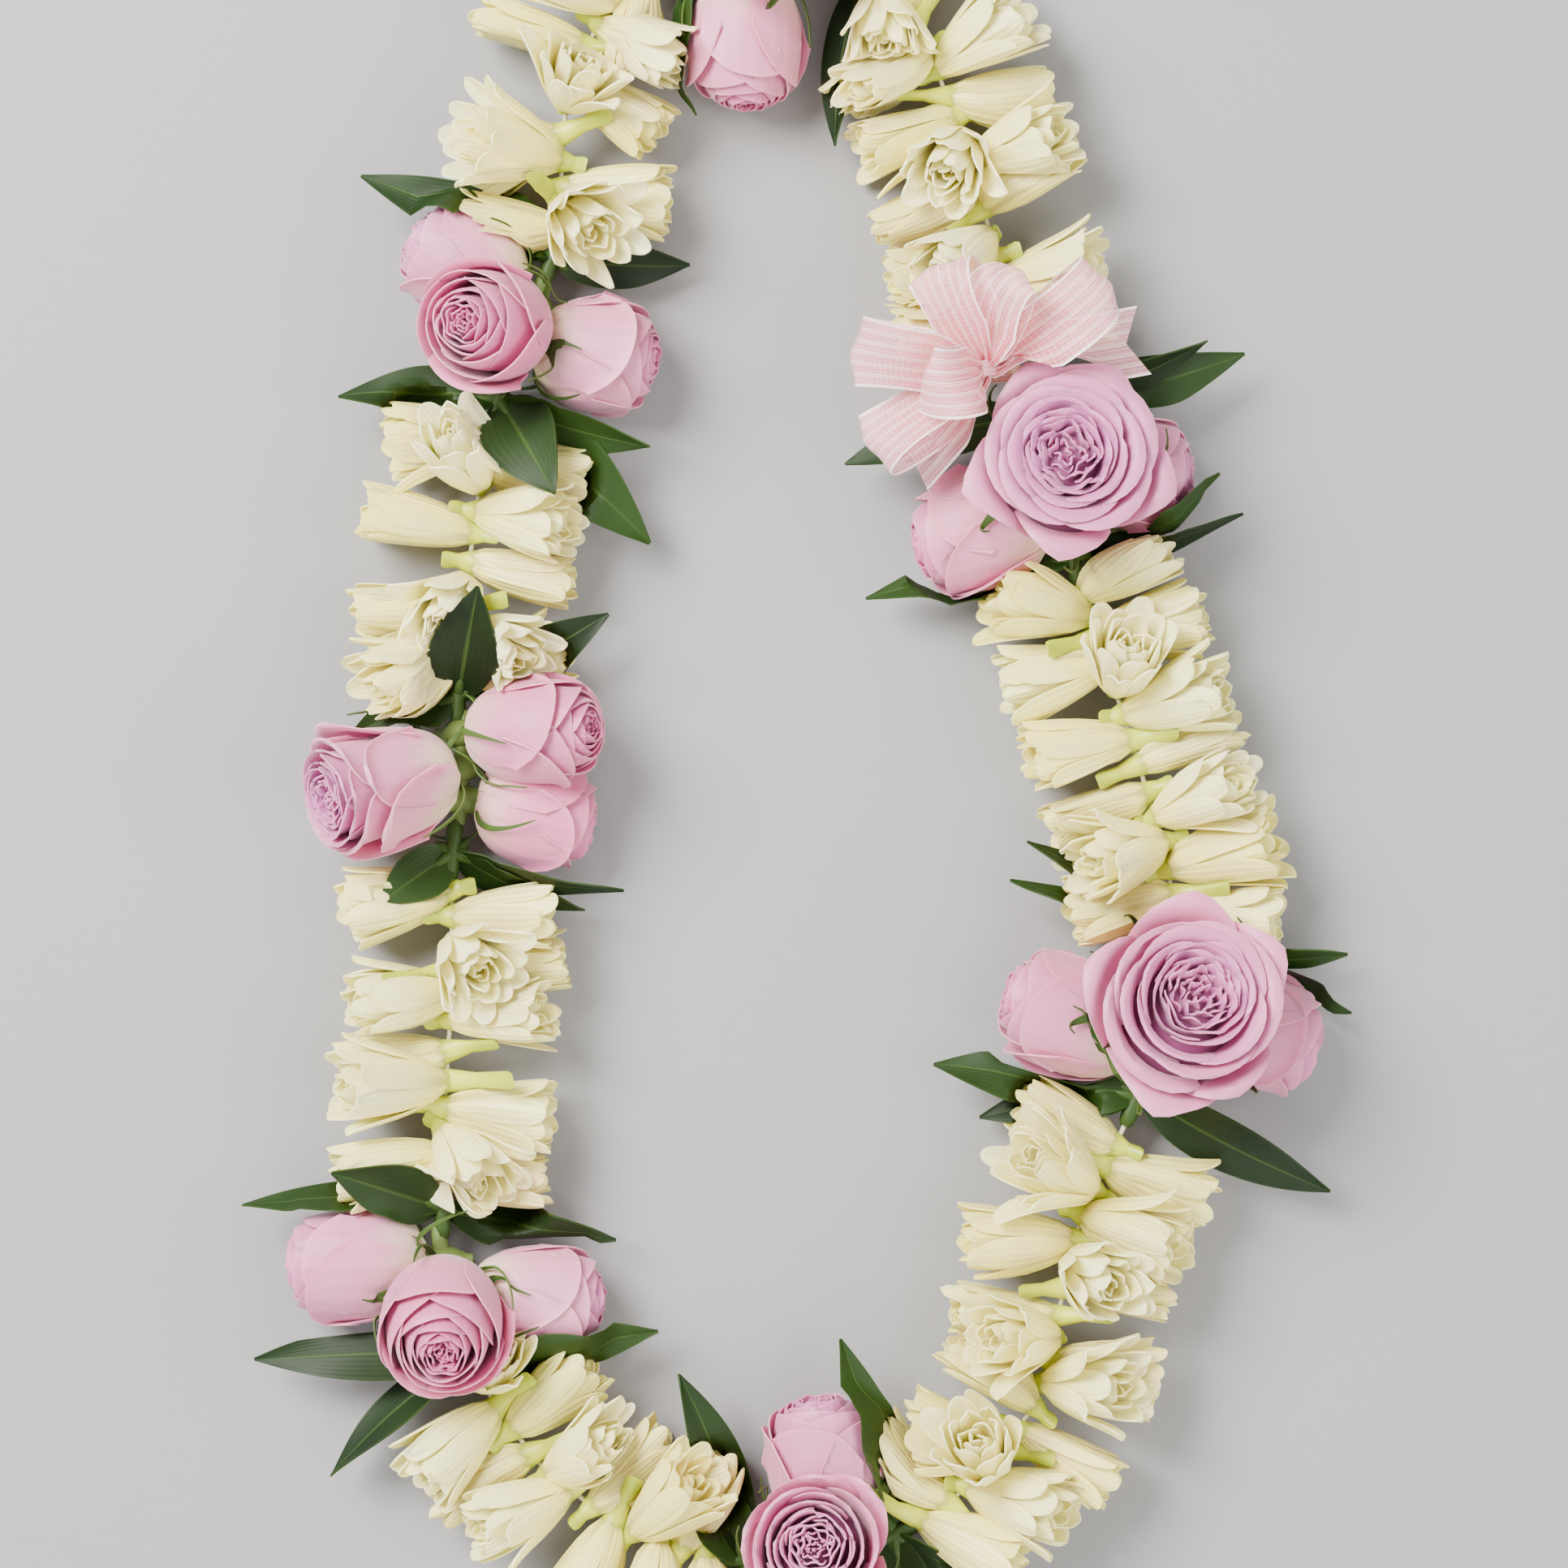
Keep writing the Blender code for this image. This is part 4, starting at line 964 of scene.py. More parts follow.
def bunch_ends(bunches, number):
    """The two stations a bunch stays between."""
    flowers = bunches[number]
    ends = []
    for other, near_flower, step in ((number - 1, flowers[0], -1), (number + 1, flowers[-1], 1)):
        if 0 <= other < len(bunches):
            facing = bunches[other][-1 if step < 0 else 0]
            ends.append((near_flower[0] + facing[0]) / 2 + BUNCH_LAP * step)
        else:
            ends.append(near_flower[0] + step * RUN_END)
    return ends


def head_of(station, aim, rise, openness, reach, *_):
    """The middle of a bloom's head."""
    return np.array(thread_at(station) + pointing(aim, rise) * reach * HEAD_SHARE)


HEADS = {flower: head_of(*flower) for bunches in TUBEROSES.values() for bunch in bunches for flower in bunch}


def heads_round(flower):
    """A bloom's root on the thread, its head, and the heads that press on it."""
    head = HEADS[flower]
    pressing = [other for other in HEADS.values() if 0 < np.linalg.norm(other - head) < HEAD_ROOM]
    return np.array(thread_at(flower[0])), head, pressing


def pushes_on(flower, ends):
    """What presses on a bloom, in order: heads, the bunch's ends, raised leaves and roses."""
    heads, rooms = heads_round(flower), near_rooms(flower[0])
    leaves = near(RAISED_LEAVES, flower[0], BLADE_NEAR)
    return [
        lambda points: beside_heads(points, *heads),
        lambda points: between_stations(points, *ends),
        lambda points: under_the_leaves(points, leaves),
        lambda points: round_the_roses(points, rooms),
    ]


print("most neighbours of one head:", max(len(heads_round(flower)[2]) for flower in HEADS))

# %% Grow every bunch
for run, bunches in TUBEROSES.items():
    for number, flowers in enumerate(bunches):
        ends = bunch_ends(bunches, number)
        whole = new_growth()
        leans = [LEAN, *[0] * (len(flowers) - 2), -LEAN]
        for flower, lean in zip(flowers, leans):
            add_to(whole, tuberose(*flower, lean=lean, pushes=pushes_on(flower, ends)))
        name = f"tuberoses_{run}{number + 1}"
        finished(whole, f"fine_{name}", ivory_petal, "tuberose", name)
    print("run", run, "has", sum(len(flowers) for flowers in bunches), "blooms")

# %% [markdown]
# ## A rose
#
# A rose's petals leave its base in a spiral, each about 137 degrees on from the last, so
# none lies straight over another. In a bud they close over each other like egg shells,
# and only a small swirl of rims shows. As the rose opens, the outer ones flare, the rims
# roll out, and the heart fills with ruffled folds. One formula covers bud and bloom: each
# whorl has a closed and an open profile, and openness blends them.

# %% One rose petal
GOLDEN_TURN = math.pi * (3 - math.sqrt(5))
PETAL_LAP = 0.05
ROSE_CROWDING = 1.35
POINT_SHARPNESS = 12
FOOT_SPREAD = 0.40
SPREAD_BY = 0.6
ROLL_POWER = 10
ROLL_DOWN = 0.4


def rose_petal(turn, spread, stops, drop, point, roll, ruffle, folds, phase, shift):
    """A petal wrapped round the rose: its rim drops at the sides, rolls out and is ruffled."""

    def shape(across, along):
        along = crowded(along, ROSE_CROWDING)
        tip = point * (np.exp(-POINT_SHARPNESS * across**2) - 1)
        reached = along * (1 - drop * np.abs(across) ** 3 + tip)
        (radius, height), (out, up) = (pair.T for pair in cubic(stops, reached))
        opened = np.sin(np.minimum(along / SPREAD_BY, 1) * math.pi / 2)
        angle = turn + across * spread * (FOOT_SPREAD + (1 - FOOT_SPREAD) * opened)
        wave = ruffle * along**3 * np.sin(folds * across + phase) + roll * along**ROLL_POWER
        radius = radius * (1 + PETAL_LAP * across * along) + up * wave
        height = height - out * wave - ROLL_DOWN * roll * along**ROLL_POWER
        x = radius * np.cos(angle) + shift[0] * along**2
        y = radius * np.sin(angle) + shift[1] * along**2
        return np.column_stack([x, y, height])

    return shape


print("petals step by", round(math.degrees(GOLDEN_TURN)), "degrees")

# %% The whorls of a rose
# Petals, half their angle, ruffle and folds, then shares of the radius and height for a
# closed bud and for an open bloom: the belly's radius, then the shoulder and the rim.
WHORLS = [
    (5, 1.00, 0.020, 2.5, (1.18, 1.06, 0.60, 0.80, 0.83), (0.90, 0.62, 0.92, 1.14, 0.80)),
    (4, 1.20, 0.020, 3.0, (1.13, 1.03, 0.70, 0.64, 0.89), (0.68, 0.53, 0.97, 0.96, 0.88)),
    (5, 1.15, 0.020, 3.0, (1.00, 0.86, 0.84, 0.50, 0.93), (0.55, 0.43, 1.00, 0.82, 0.93)),
    (5, 1.10, 0.024, 3.5, (0.84, 0.64, 0.92, 0.37, 0.95), (0.45, 0.36, 1.02, 0.66, 0.95)),
    (6, 0.95, 0.030, 5.0, (0.64, 0.46, 0.95, 0.26, 0.97), (0.37, 0.30, 1.00, 0.50, 0.95)),
    (7, 0.75, 0.034, 5.0, (0.44, 0.28, 0.96, 0.16, 0.97), (0.29, 0.24, 0.96, 0.36, 0.94)),
    (6, 0.80, 0.030, 4.0, (0.26, 0.14, 0.95, 0.08, 0.95), (0.20, 0.15, 0.91, 0.20, 0.90)),
]
HEART = (0.05, 0.04, 0.90, 0.02, 0.92)
HEART_SHIFT = 0.06
LAST_OUTER_WHORL = 3
MORE_INSIDE = 0.4
FIRST_WHORL_BLEND = 0.45
# Where the heart sits off centre: station, then the aim in plan and a share of the radius.
SHIFTED_HEARTS = {693: (45, 0.16), 839: (170, 0.12), 131: (150, 0.16), 382: (290, 0.14)}


def whorl_petals(openness):
    """Each petal's place in the rose, from 0 to 1, its whorl's measures and its profile."""
    opened = openness**1.5
    profiles = [mixed(np.array(whorl[4]), np.array(whorl[5]), opened) for whorl in WHORLS]
    profiles.append(np.array(HEART))
    petals = []
    for whorl, (count, spread, ruffle, folds, *_) in enumerate(WHORLS):
        if whorl > LAST_OUTER_WHORL:
            count = round(count * (1 + MORE_INSIDE * openness))
        for k in range(count):
            blend = k / count * (FIRST_WHORL_BLEND if whorl == 0 else 1)
            petals.append((whorl, spread, ruffle, folds, mixed(profiles[whorl], profiles[whorl + 1], blend)))
    return [(number / (len(petals) - 1), *petal) for number, petal in enumerate(petals)]


def heart_shift(station, place, radius, draw):
    """How far the heart lies off centre, in the rose's own frame."""
    aim, share = SHIFTED_HEARTS.get(station, (draw.uniform(0, 360), HEART_SHIFT))
    away = place.to_3x3().inverted() @ pointing(aim, 0)
    away.z = 0
    return away.normalized() * share * radius


print(len(whorl_petals(0.1)), "petals in a bud,", len(whorl_petals(1)), "in an open rose")

# %% The habits of a rose's rims
# Pairs are the lowest and the highest share that a seeded draw may give, or the two
# ends that the openness or a petal's place blends. Guard petals are an open rose's first whorl.
RIM_LOOSE = (0.03, 0.08)
RIM_UP = (0.98, 1.015)
RIM_ROLL = (0.5, 0.9)
RIM_DROP = (0.36, 0.14)
RIM_POINT = 0.02
LIP = 2.2
GUARD_OUT = (0.98, 1.08)
GUARD_UP = (0.92, 1.06)
GUARD_SPREAD = 0.85
GUARD_DROP = 0.46
GUARD_POINT = 0.14
GUARD_ROLL = 1.8


def rim_of(draw, guard, share, openness, rim, rim_up, spread):
    """A petal's own rim: its radius and height, its spread, and how it drops, points and rolls."""
    loose = mixed(*RIM_LOOSE, share * openness)
    rim, rim_up = rim * draw.uniform(1 - loose, 1 + loose), rim_up * draw.uniform(*RIM_UP)
    if guard:
        rim, rim_up = rim * draw.uniform(*GUARD_OUT), rim_up * draw.uniform(*GUARD_UP)
        return rim, rim_up, spread * GUARD_SPREAD, GUARD_DROP, GUARD_POINT, GUARD_ROLL
    roll = mixed(*RIM_ROLL, openness) * (1 - 0.6 * share)
    roll += LIP * draw.random() * max(1 - 4 * share, 0)
    return rim, rim_up, spread, mixed(*RIM_DROP, min(2.5 * share, 1)), RIM_POINT, roll


print("a guard petal rolls out", GUARD_ROLL, "mm")

# %% A whole rose
ROSE_WALL = 0.4
# The core's depth mark lies deep, so it takes the painted mauve shade.
CORE_DEPTH = 0.85
FOOT = (0.34, 0.08)
FOOT_DOWN = 0.04
BELLY_UP = 0.06
TURN_LOOSE = 0.12
SPREAD_LOOSE = (0.9, 1.08)
RUFFLING = (0.5, 1.1)
OUTER_GRID = (12, 9)
OUTER_SHARE = 0.36
# The mass that stands for folded petals deep inside and closes the gaps, painted with the dark mauve shade:
# radius and height.
ROSE_CORE = [(0, 0.82), (0.20, 0.81), (0.40, 0.76), (0.57, 0.66), (0.73, 0.48), (0.66, 0.28), (0, 0.10)]


def rose(station, aim, rise, height, radius, openness, warmth, paleness, pushes=()):
    draw = random.Random(int(station * 10) + 7)
    bm = new_growth()
    place = rose_frame(station, aim, rise)
    shift = heart_shift(station, place, radius, draw)
    for k, (share, whorl, spread, ruffle, folds, profile) in enumerate(whorl_petals(openness)):
        belly, shoulder, shoulder_up, rim, rim_up = profile
        guard = openness >= WIDE_OPEN and whorl == 0
        rim, rim_up, spread, drop, point, roll = rim_of(draw, guard, share, openness, rim, rim_up, spread)
        stops = [
            (radius * mixed(*FOOT, share), -FOOT_DOWN * height * (1 - share)),
            (radius * belly, BELLY_UP * height),
            (radius * shoulder, shoulder_up * height),
            (radius * rim, rim_up * height),
        ]
        turn = k * GOLDEN_TURN + draw.uniform(-TURN_LOOSE, TURN_LOOSE) * (1 + 2 * share)
        spread = spread * draw.uniform(*SPREAD_LOOSE)
        ruffle = ruffle * radius * mixed(*RUFFLING, openness)
        inner = shift * max(1 - rim, 0) ** 0.8
        shape = rose_petal(turn, spread, stops, drop, point, roll, ruffle, folds, draw.uniform(0, 6), inner)
        columns, rows = OUTER_GRID if share < OUTER_SHARE else (round(mixed(9, 13, openness)), 6)
        grow_blade(bm, columns, rows, shape, depth=share, tint=warmth, pale=paleness)
    give_walls(bm, ROSE_WALL)
    core = [(wide * radius, up * height) for wide, up in reversed(ROSE_CORE)]
    for vert in turn_profile(bm, core, ROUND_STEPS, depth=CORE_DEPTH, tint=warmth, pale=paleness):
        vert.co += shift * max(vert.co.z / height, 0) ** 2
    settle(bm, place, *pushes)
    return bm


print("a rose petal is", ROSE_WALL, "mm thick")

# %% Grow the roses
for (group, place), bloom in ROSES.items():
    name = f"rose_{group}_{place}"
    rooms = [] if place == "middle" else [ROSE_ROOMS[group, "middle"]]
    grown = rose(*bloom, pushes=[lambda points, rooms=rooms: round_the_roses(points, rooms)])
    finished(grown, f"fine_{name}", rose_velvet, "rose", name)
print(len(ROSES), "roses grown")

# %% [markdown]
# ## Hips and sepals
#
# Under each rose a round hip sits on the thread, with five long narrow sepals. On a real
# spray rose some hug the petals and others curl away. Each sepal is a slim grid. On a
# rose that lies down, two of them curl away. All of them keep clear of the group's other
# roses and lie outside their own. Short stems sheathe the thread.

# %% One hip with its sepals
SEPAL_WALL = 0.4
SEPAL_SPARE = 1.2
HUG_SOFT = 1.0
HIP_TINT = 0.2
SLEEVE_TINT = 0.05
STEM_HALF = 15.0
STEM_RADIUS = 2.2
HIP_PROFILE = [
    (0, -7.5), (1.5, -7.5), (1.8, -5.0), (3.4, -3.0), (4.0, 0), (3.7, 2.6), (3.5, 4.0), (4.4, 5.2), (0, 6.0),
]


def sepal(turn, stops, half_width, sway):
    """A slim blade on a curve of radius and height, widest at the hip."""

    def shape(across, along):
        (radius, height), (out, up) = (pair.T for pair in cubic(stops, along))
        half = half_width * ((1 - along) ** 0.8 * 0.85 + 0.15)
        inward = 0.3 * half * across**2
        angle = turn + sway * along**2 + half * across / np.maximum(radius, 3)
        radius, height = radius - up * inward, height + out * inward
        return np.column_stack([radius * np.cos(angle), radius * np.sin(angle), height])

    return shape


def hip(own, others, station, aim, rise, height, radius, *_):
    draw = random.Random(int(station * 10) + 3)
    bm = new_growth()
    for k in range(5):
        if k % 2 and rise < FACING_UP:
            away = draw.uniform(0.8, 1.3)
            stops = [(3.0, 4.6), (9 * away, 9), (13 * away, 4), (13 * away, -6 * away)]
        else:
            stops = [
                (3.0, 4.6),
                (radius * 0.92 + 1.0, 4.5),
                (radius * 1.12 + 1.0, HEAD_START + height * 0.22),
                (radius * 1.05 + 1.2, HEAD_START + height * draw.uniform(0.42, 0.62)),
            ]
        shape = sepal(math.tau * k / 5, stops, 1.3, draw.uniform(-0.5, 0.5))
        grow_blade(bm, 2, 12, shape, depth=0, tint=draw.random())
    give_walls(bm, SEPAL_WALL)
    turn_profile(bm, HIP_PROFILE, ROUND_STEPS, depth=0, tint=HIP_TINT)
    place = standing_frame(thread_at(station), pointing(aim, rise), 53 * station)
    settle(
        bm, place,
        lambda points: round_the_roses(points, others, SEPAL_SPARE),
        lambda points: round_the_roses(points, [own], soft=HUG_SOFT),
    )
    return bm


def sheath(station, half_length, radius):
    """A soft green sleeve round the thread."""
    bm = new_growth()
    steps = ((0, 1), (0.55, 1), (0.85, 0.88), (1, 0.6), (0.88, 0.25), (1, 0))
    profile = [(wide * radius, -up * half_length) for wide, up in steps]
    profile += [(wide * radius, up * half_length) for wide, up in reversed(steps)]
    turn_profile(bm, profile, ROUND_STEPS, depth=0, tint=SLEEVE_TINT)
    settle(bm, standing_frame(thread_at(station), travel_at(station)))
    return bm


print("a hip is", 2 * max(wide for wide, _ in HIP_PROFILE), "mm across")

# %% Grow the hips and sepals
for group, (station, _) in ROSE_GROUPS.items():
    whole = new_growth()
    for place in ROSE_PLACES:
        others = [ROSE_ROOMS[group, other] for other in ROSE_PLACES if other != place]
        add_to(whole, hip(ROSE_ROOMS[group, place], others, *ROSES[group, place]))
    add_to(whole, sheath(station, STEM_HALF, STEM_RADIUS))
    finished(whole, f"fine_calyxes_{group}", hip_green, "calyx", f"calyxes_{group}")
print(len(ROSE_GROUPS), "groups of hips grown")

# %% [markdown]
# ## Pointed leaves
#
# A leaf here is an oval that runs out to a long point, folded a little along its midrib
# and arched. Its edge waves slightly and its tip twists. A low leaf passes under the
# tuberose heads that it would run through. Where a leaf would run through a rose it is
# bent round it, as a real blade is pushed aside by the bloom.

# %% One leaf
LEAF_WALL = 0.5
LEAF_SOFT = 5.0
LEAF_WAVE = 0.4
LEAF_FOLD = 0.16
HUB_HALF = 8.5
HUB_RADIUS = 2.3
STALK_PROFILE = [(0, -5.0), (1.1, -5.0), (1.7, -3.0), (1.8, 1.5), (1.0, 6.0), (0, 7.0)]
STALK_STEPS = 8
HEAD_BALL = 11.0
BALL_MIDDLE = 0.7
BALL_FADE = 4.0
BALL_SOFT = 2.0


def under_the_heads(points):
    """Takes a low blade under each bloom's head that it would run through."""
    for head in HEADS.values():
        aside = np.hypot(*(points - head)[:, :2].T)
        crossing = points[aside < BALL_MIDDLE * HEAD_BALL, 2]
        if len(crossing) and crossing.mean() < head[2] + HEAD_BALL:
            cap = np.sqrt(np.maximum(HEAD_BALL**2 - aside**2, 0))
            room = head[2] - points[:, 2] - cap
            share = np.clip((HEAD_BALL + BALL_SOFT - aside) / BALL_FADE, 0, 1)
            points[:, 2] -= share * (squeezed(room, BALL_SOFT) - room)
    return points


def leaf_blade(length, width, twist, sweep, phase):
    """An arched blade, folded along its midrib, with a waved edge and a twisted tip."""

    def shape(across, along):
        half = leaf_half(width, along)
        edge = half * across
        lift = leaf_lift(length, along) + LEAF_FOLD * half * np.abs(across) ** 1.3
        lift = lift + LEAF_WAVE * across**2 * np.sin(9 * along + phase + across)
        turn = twist * along**2
        x = lift + edge * np.sin(turn)
        y = edge * np.cos(turn) + sweep * length * along**2
        return np.column_stack([x, y, length * along])

    return shape


def leaf(station, aim, rise, length, width, roll):
    twist, sweep, phase, tint = leaf_habit(station, aim)
    bm = new_growth()
    grow_blade(bm, 8, 24, leaf_blade(length, width, twist, sweep, phase), depth=0, tint=tint)
    give_walls(bm, LEAF_WALL)
    turn_profile(bm, STALK_PROFILE, STALK_STEPS, depth=0, tint=tint)
    rooms = near_rooms(station)
    place = leaf_frame(station, aim, rise, roll)
    lowered = [] if rise > RAISED else [under_the_heads]
    settle(bm, place, *lowered, lambda points: round_the_roses(points, rooms, soft=LEAF_SOFT))
    return bm


print("a leaf is", LEAF_WALL, "mm thick")

# %% Grow the leaf collars
for collar, (station, blades) in LEAF_COLLARS.items():
    whole = new_growth()
    for k, blade in enumerate(blades):
        add_to(whole, leaf(station + LEAF_STEP * k, *blade))
    add_to(whole, sheath(station, HUB_HALF, HUB_RADIUS))
    finished(whole, f"fine_leaves_{collar}", leaf_gloss, "leaf", f"leaves_{collar}")
print(len(LEAF_COLLARS), "collars grown")

# %% [markdown]
# ## Sheer ribbon
#
# Organza is a thin, open weave: the loops behind show through, and only the woven satin
# stripes and the selvedges are nearly solid. The pattern follows the ribbon, so it reads
# the across and along marks, and the cloth between the stripes is mostly clear. Here the
# tint mark tells a tail from a loop, for the deeper pink where the cloth is gathered.

# %% The organza finish
RIBBON_PINK = (0.86, 0.14, 0.20, 1)
RIBBON_BLUSH = (0.90, 0.40, 0.46, 1)
SATIN_WHITE = (0.98, 0.86, 0.88, 1)

sheer = Finish("sheer_organza", Roughness=0.45, Sheen_Weight=0.3)
along, across, tail = (sheer.mark(name) for name in ("along", "across", "tint"))
fleck = sheer.grain(900)
gathered = abs(along * 2 - 1) * (1 - tail) + (1 - along) * tail
pairs = abs(abs((across * 9.75).sine()) - 0.28).between(0.16, 0.04)
threads = (across * 58).sine().between(0.4, 0.95) * 0.28 + (along * 420).sine().between(0.2, 0.9) * 0.2
selvedge = abs(across).between(0.92, 0.95)
stripe = (pairs * 0.75 + threads) * (1 - selvedge) + selvedge
body = sheer.colour(gathered.between(0.1, 0.9), RIBBON_BLUSH, RIBBON_PINK)
body = sheer.colour(stripe.between(0.0, 0.9) * 0.85, body, SATIN_WHITE)
clothy = 0.27 + gathered.between(0.3, 1.0) * 0.22 + stripe * 0.45 + fleck * 0.12
sheer.look(Base_Color=body, Alpha=clothy.between(-0.1, 1.1))
organza = sheer.material
print(organza.name, len(sheer.tree.nodes), "nodes")

# %% [markdown]
# ## The bow
#
# One long ribbon is looped back and forth and pinched by its own band, so each loop is
# gathered at the knot and spreads to full width at its end. A loop is a strip along a
# closed curve. It twists as it goes, so its two layers don't lie exactly over each other.

# %% The bow's measures
BOW_STATION = 870
BOW_INWARD = 9.0
BOW_HEIGHT = 42.0
BOW_KNOT_RADIUS = 4.0
RIBBON_WIDTH = 18.0
RIBBON_NECK = 3.0
RIBBON_WALL = 0.12
# Loops: aim, rise, length, spread and roll. Tails: aim, rise and length.
BOW_LOOPS = [
    (172, 8, 35, 7, 8), (214, -6, 36, 6, -14), (116, 14, 30, 7, 20),
    (72, 28, 28, 7, 50), (38, 8, 38, 7, -26), (196, 44, 22, 7, 24),
]
BOW_TAILS = [(12, -4, 40), (228, -10, 32)]
LOOP_TWIST = 0.5
LOOP_CLOTH = 2.3
TAIL_DROP = 6.0
BOW_SPARE = 0.6


def bow_centre():
    inward = Vector((0, 0, 1)).cross(travel_at(BOW_STATION))
    place = thread_at(BOW_STATION) + inward * BOW_INWARD
    place.z = BOW_HEIGHT
    return place


def directions(aim, rise):
    """Outwards, sideways and over, for a ribbon that leaves the knot."""
    out = pointing(aim, rise)
    sideways = out.cross(Vector((0, 0, 1))).normalized()
    return (np.array(way) for way in (out, sideways, sideways.cross(out).normalized()))


print("bow centre at", tuple(round(x, 1) for x in bow_centre()))


# %% Loops and tails
GATHERING = 2.4
KNOT_PLEATS = 9
LOOP_PLEAT = 1.1
LOOP_BOWL = 0.9
TAIL_PLEAT = 0.9
TAIL_WAVE = 1.6
TAIL_WAVES = 5
NOTCH = 0.12


def ribbon_half(share):
    """Half the ribbon's width: gathered at the knot, and soon at its full spread."""
    return (RIBBON_NECK + (RIBBON_WIDTH - RIBBON_NECK) * np.minimum(1, GATHERING * share) ** 0.75) / 2


def bow_loop(aim, rise, length, spread, roll, twist):
    out, sideways, over = directions(aim, rise)
    c, s = math.cos(math.radians(roll)), math.sin(math.radians(roll))
    sideways, over = c * sideways + s * over, c * over - s * sideways
    start = 0.5 * BOW_KNOT_RADIUS

    def shape(across, along):
        turn = math.tau * along
        share = (1 - np.cos(turn)) / 2
        aside = spread * np.sin(turn) * share**0.4 + LOOP_BOWL * share * across**2
        pleat = LOOP_PLEAT * (1 - np.minimum(1, GATHERING * share)) * np.cos(KNOT_PLEATS * across)
        angle, edge = twist * np.sin(turn), ribbon_half(share) * across
        reach = start + (length - start) * share * (1 - 0.05 * across**2 + 0.015 * np.sin(5 * across + aim))
        wide = np.outer(edge * np.cos(angle), sideways) + np.outer(edge * np.sin(angle), over)
        return np.array(bow_centre()) + np.outer(reach, out) + np.outer(aside + pleat, over) + wide

    return shape


def bow_tail(aim, rise, length):
    out, sideways, over = directions(aim, rise)

    def shape(across, along):
        notch = NOTCH * length * along**4 * (np.abs(across) - 0.5)
        line = np.outer(length * along + notch, out)
        pleat = TAIL_PLEAT * (1 - along) * np.cos(KNOT_PLEATS * across)
        drop = TAIL_WAVE * np.sin(TAIL_WAVES * along) + pleat - TAIL_DROP * along**2
        edge = ribbon_half(along) * across
        return np.array(bow_centre()) + line + np.outer(edge, sideways) + np.outer(drop, over)

    return shape


print(len(BOW_LOOPS), "loops and", len(BOW_TAILS), "tails")


# %% The band and the finished bow
BAND_RADIUS = 2.6
BAND_HALF = 2.4


def bow_band(across, along):
    """The band over the knot, down to the thread and round it."""
    travel, thread = travel_at(BOW_STATION), thread_at(BOW_STATION)
    up = (bow_centre() - thread).normalized()
    aside = travel.cross(up).normalized()
    reach = (bow_centre() - thread).length
    turn = math.tau * along
    wide = mixed(BAND_RADIUS, BOW_KNOT_RADIUS, (1 - np.cos(turn)) / 2)
    high = reach / 2 - (reach / 2 + wide) * np.cos(turn)
    line = np.outer(wide * np.sin(turn), aside) + np.outer(high, up)
    return np.array(thread) + line + np.outer(BAND_HALF * across, travel)


bm = new_growth()
for k, loop in enumerate(BOW_LOOPS):
    grow_blade(bm, 12, 40, bow_loop(*loop, LOOP_TWIST * (-1) ** k))
for tail in BOW_TAILS:
    grow_blade(bm, 12, 20, bow_tail(*tail), tint=1)
grow_blade(bm, 6, 40, bow_band)
give_walls(bm, RIBBON_WALL)
settle(bm, Matrix(), lambda points: round_the_roses(points, near_rooms(BOW_STATION), BOW_SPARE))
ribbon_length = sum(LOOP_CLOTH * loop[2] for loop in BOW_LOOPS) + sum(tail[2] for tail in BOW_TAILS)
bow = finished(bm, "fine_ribbon_bow", organza, "ribbon", "ribbon_bow")
ribbon_length * MM
print(f"ribbon {ribbon_length:.0f} mm long")

# %% [markdown]
# ## The thread
#
# Only glimpses of the thread show between the blooms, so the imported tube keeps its
# shape and gets the look of cotton: a fine mottled grain in two warm whites, raised
# a little by a bump.

# %% Cotton for the thread
COTTON = (0.66, 0.62, 0.44, 1)
COTTON_SHADE = (0.40, 0.38, 0.22, 1)

cotton = Finish("twisted_cotton", Roughness=0.9)
fibre = cotton.grain(1400)
cotton.look(Base_Color=cotton.colour(fibre.between(0.35, 0.7), COTTON_SHADE, COTTON))
cotton.relief(fibre, 0.0003, 0.6)
thread = bpy.data.objects["thread"]
for slot in thread.material_slots:
    slot.material = cotton.material
print("thread finished with", cotton.material.name)

# %% [markdown]
# ## Floor, light and camera
#
# The garland lies on a plain pale floor. Three large soft panels light it as a table-top
# studio would, the strongest from the upper left, and an even white air fills the
# shadows. The camera looks straight down on the route's own origin, from far enough away
# that the flowers near the edges hardly lean outwards.

# %% The studio and its floor
FRAME_WIDTH = 405.7
FOCUS_HEIGHT = 24.0
CAMERA_AWAY = 1300.0
FLOOR_GREY = (0.27, 0.27, 0.28, 1)
FLOOR_HALF = 4
DAYLIGHT = (1.0, 0.97, 0.92)
AIR_LIGHT = 0.64
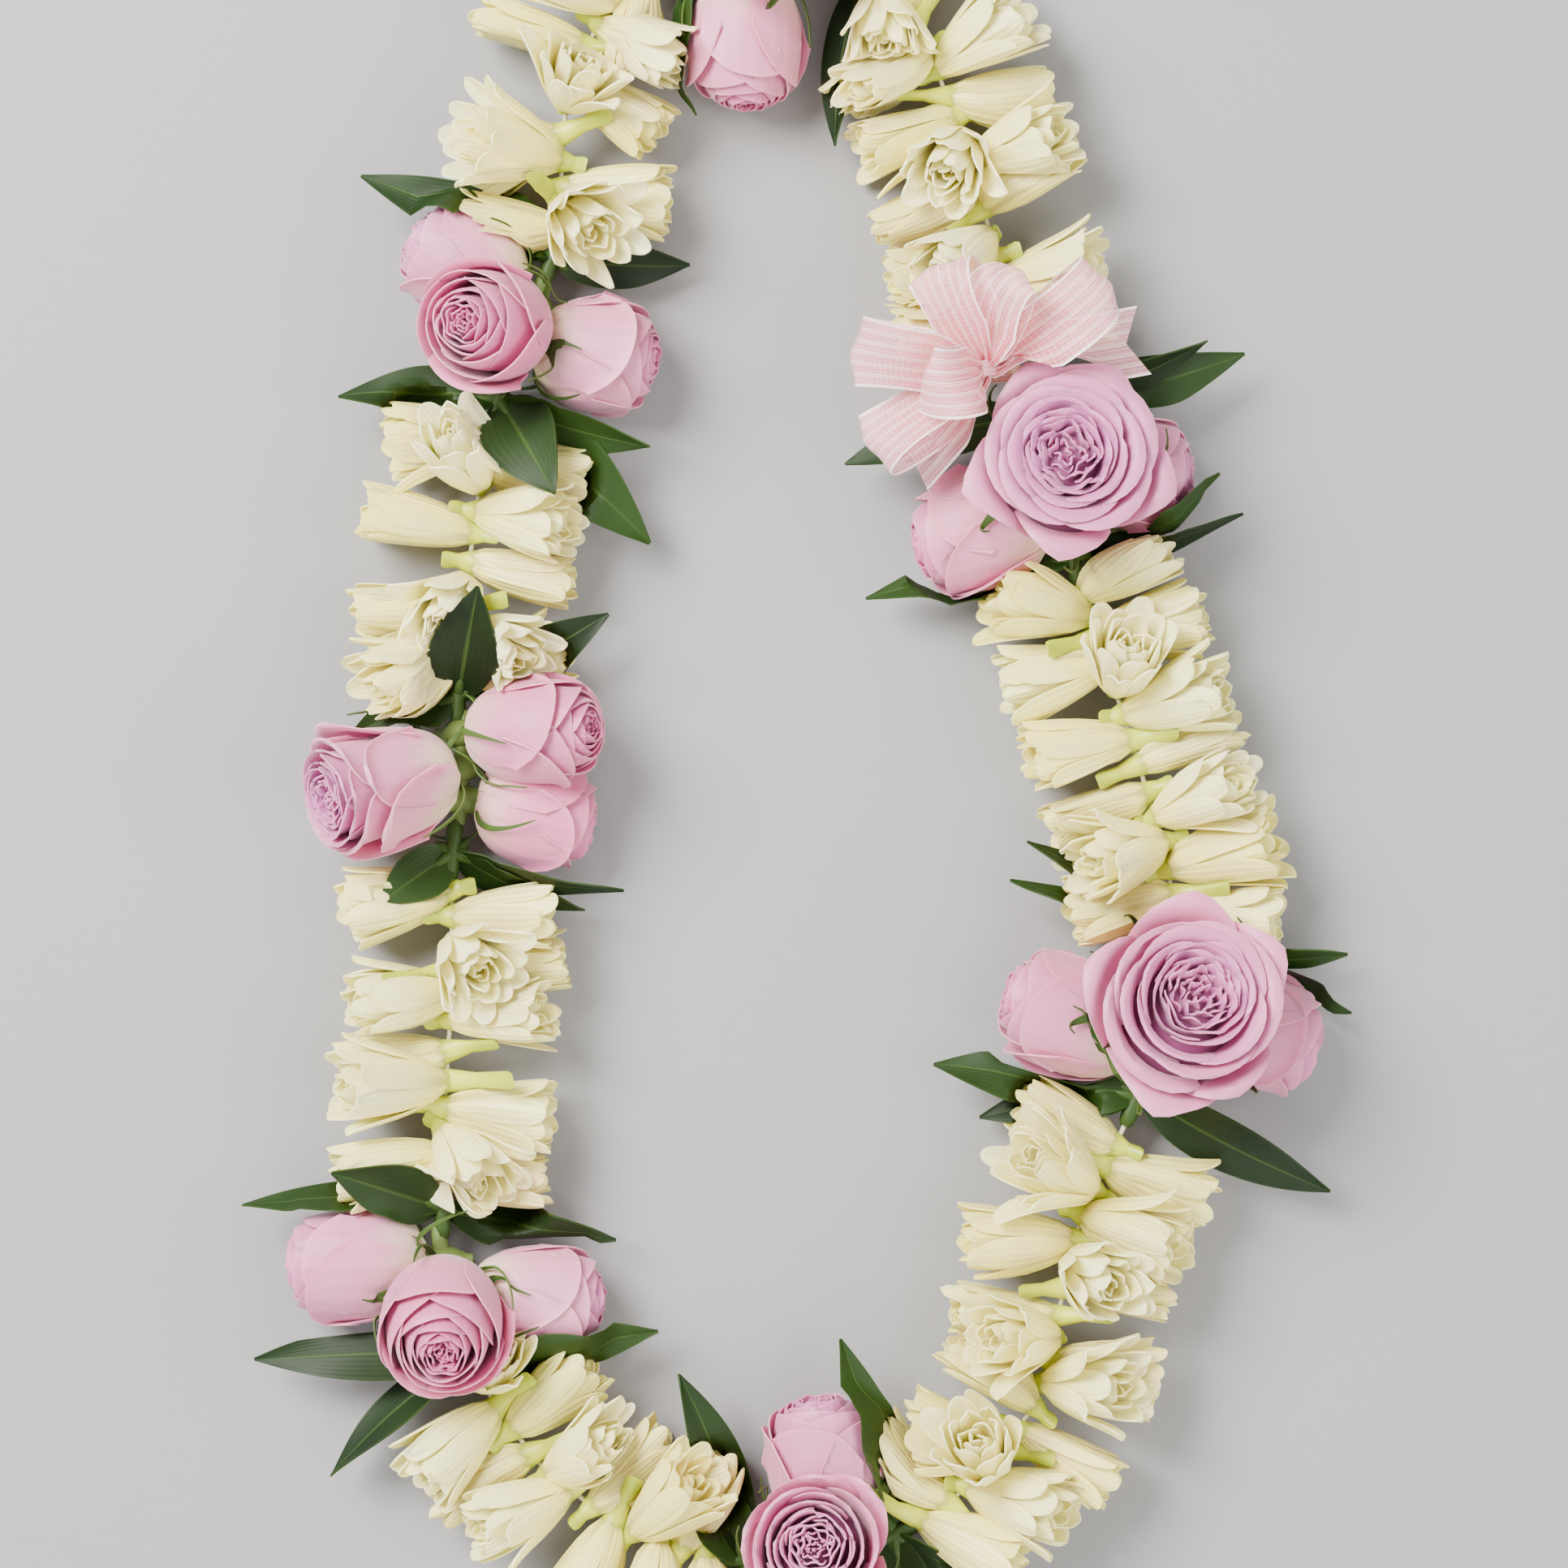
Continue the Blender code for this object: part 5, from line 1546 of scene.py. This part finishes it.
# Each panel's place, size and power, in metres and watts.
PANELS = {
    "key_panel": ((-0.9, 0.7, 1.3), 0.9, 112),
    "fill_panel": ((1.1, -0.3, 1.2), 1.2, 28),
    "low_panel": ((0.1, -1.3, 0.9), 1.0, 16),
}

bm = bmesh.new()
bmesh.ops.create_grid(bm, x_segments=1, y_segments=1, size=FLOOR_HALF)
mesh = bpy.data.meshes.new("floor")
bm.to_mesh(mesh)
bm.free()
floor = bpy.data.objects.new("floor", mesh)
bpy.context.scene.collection.objects.link(floor)
mesh.materials.append(Finish("pale_floor", Base_Color=FLOOR_GREY, Roughness=0.8).material)
floor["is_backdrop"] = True
print("floor", 2 * FLOOR_HALF, "m wide")

# %% Lights
for name, (place, size, power) in PANELS.items():
    light = bpy.data.lights.new(name, "AREA")
    light.size, light.energy, light.color = size, power, DAYLIGHT
    lamp = bpy.data.objects.new(name, light)
    lamp.location = place
    lamp.rotation_euler = (-Vector(place)).to_track_quat("-Z", "Y").to_euler()
    bpy.context.scene.collection.objects.link(lamp)

world = bpy.data.worlds.new("studio_air")
world.use_nodes = True
background = world.node_tree.nodes["Background"]
background.inputs["Color"].default_value = (1, 1, 1, 1)
background.inputs["Strength"].default_value = AIR_LIGHT
bpy.context.scene.world = world
print(len(PANELS), "panels lit")

# %% Camera
camera = bpy.data.cameras.new("overhead")
camera.sensor_width = 36
camera.lens = camera.sensor_width * CAMERA_AWAY / FRAME_WIDTH
camera.clip_end = 20
eye = bpy.data.objects.new("overhead", camera)
eye.location = (-MIDDLE[0] * MM, -MIDDLE[1] * MM, (FOCUS_HEIGHT + CAMERA_AWAY) * MM)
bpy.context.scene.collection.objects.link(eye)
bpy.context.scene.camera = eye
print(f"camera {eye.location.z:.2f} m up, {camera.lens:.0f} mm lens")

# %% [markdown]
# ## Measure the boxes
#
# Both boxes, the imported model's and the dressed model's, are measured and printed
# in millimetres. The dressed model has to stay inside the imported model's box, apart
# from a little that cloth may stand proud.

# %% Measure both boxes
boxes = {"cad": CAD_BOX, "visual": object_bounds()}
for name, (low, high) in boxes.items():
    print(name, "box in mm:", [round((b - a) / MM, 1) for a, b in zip(low, high)])
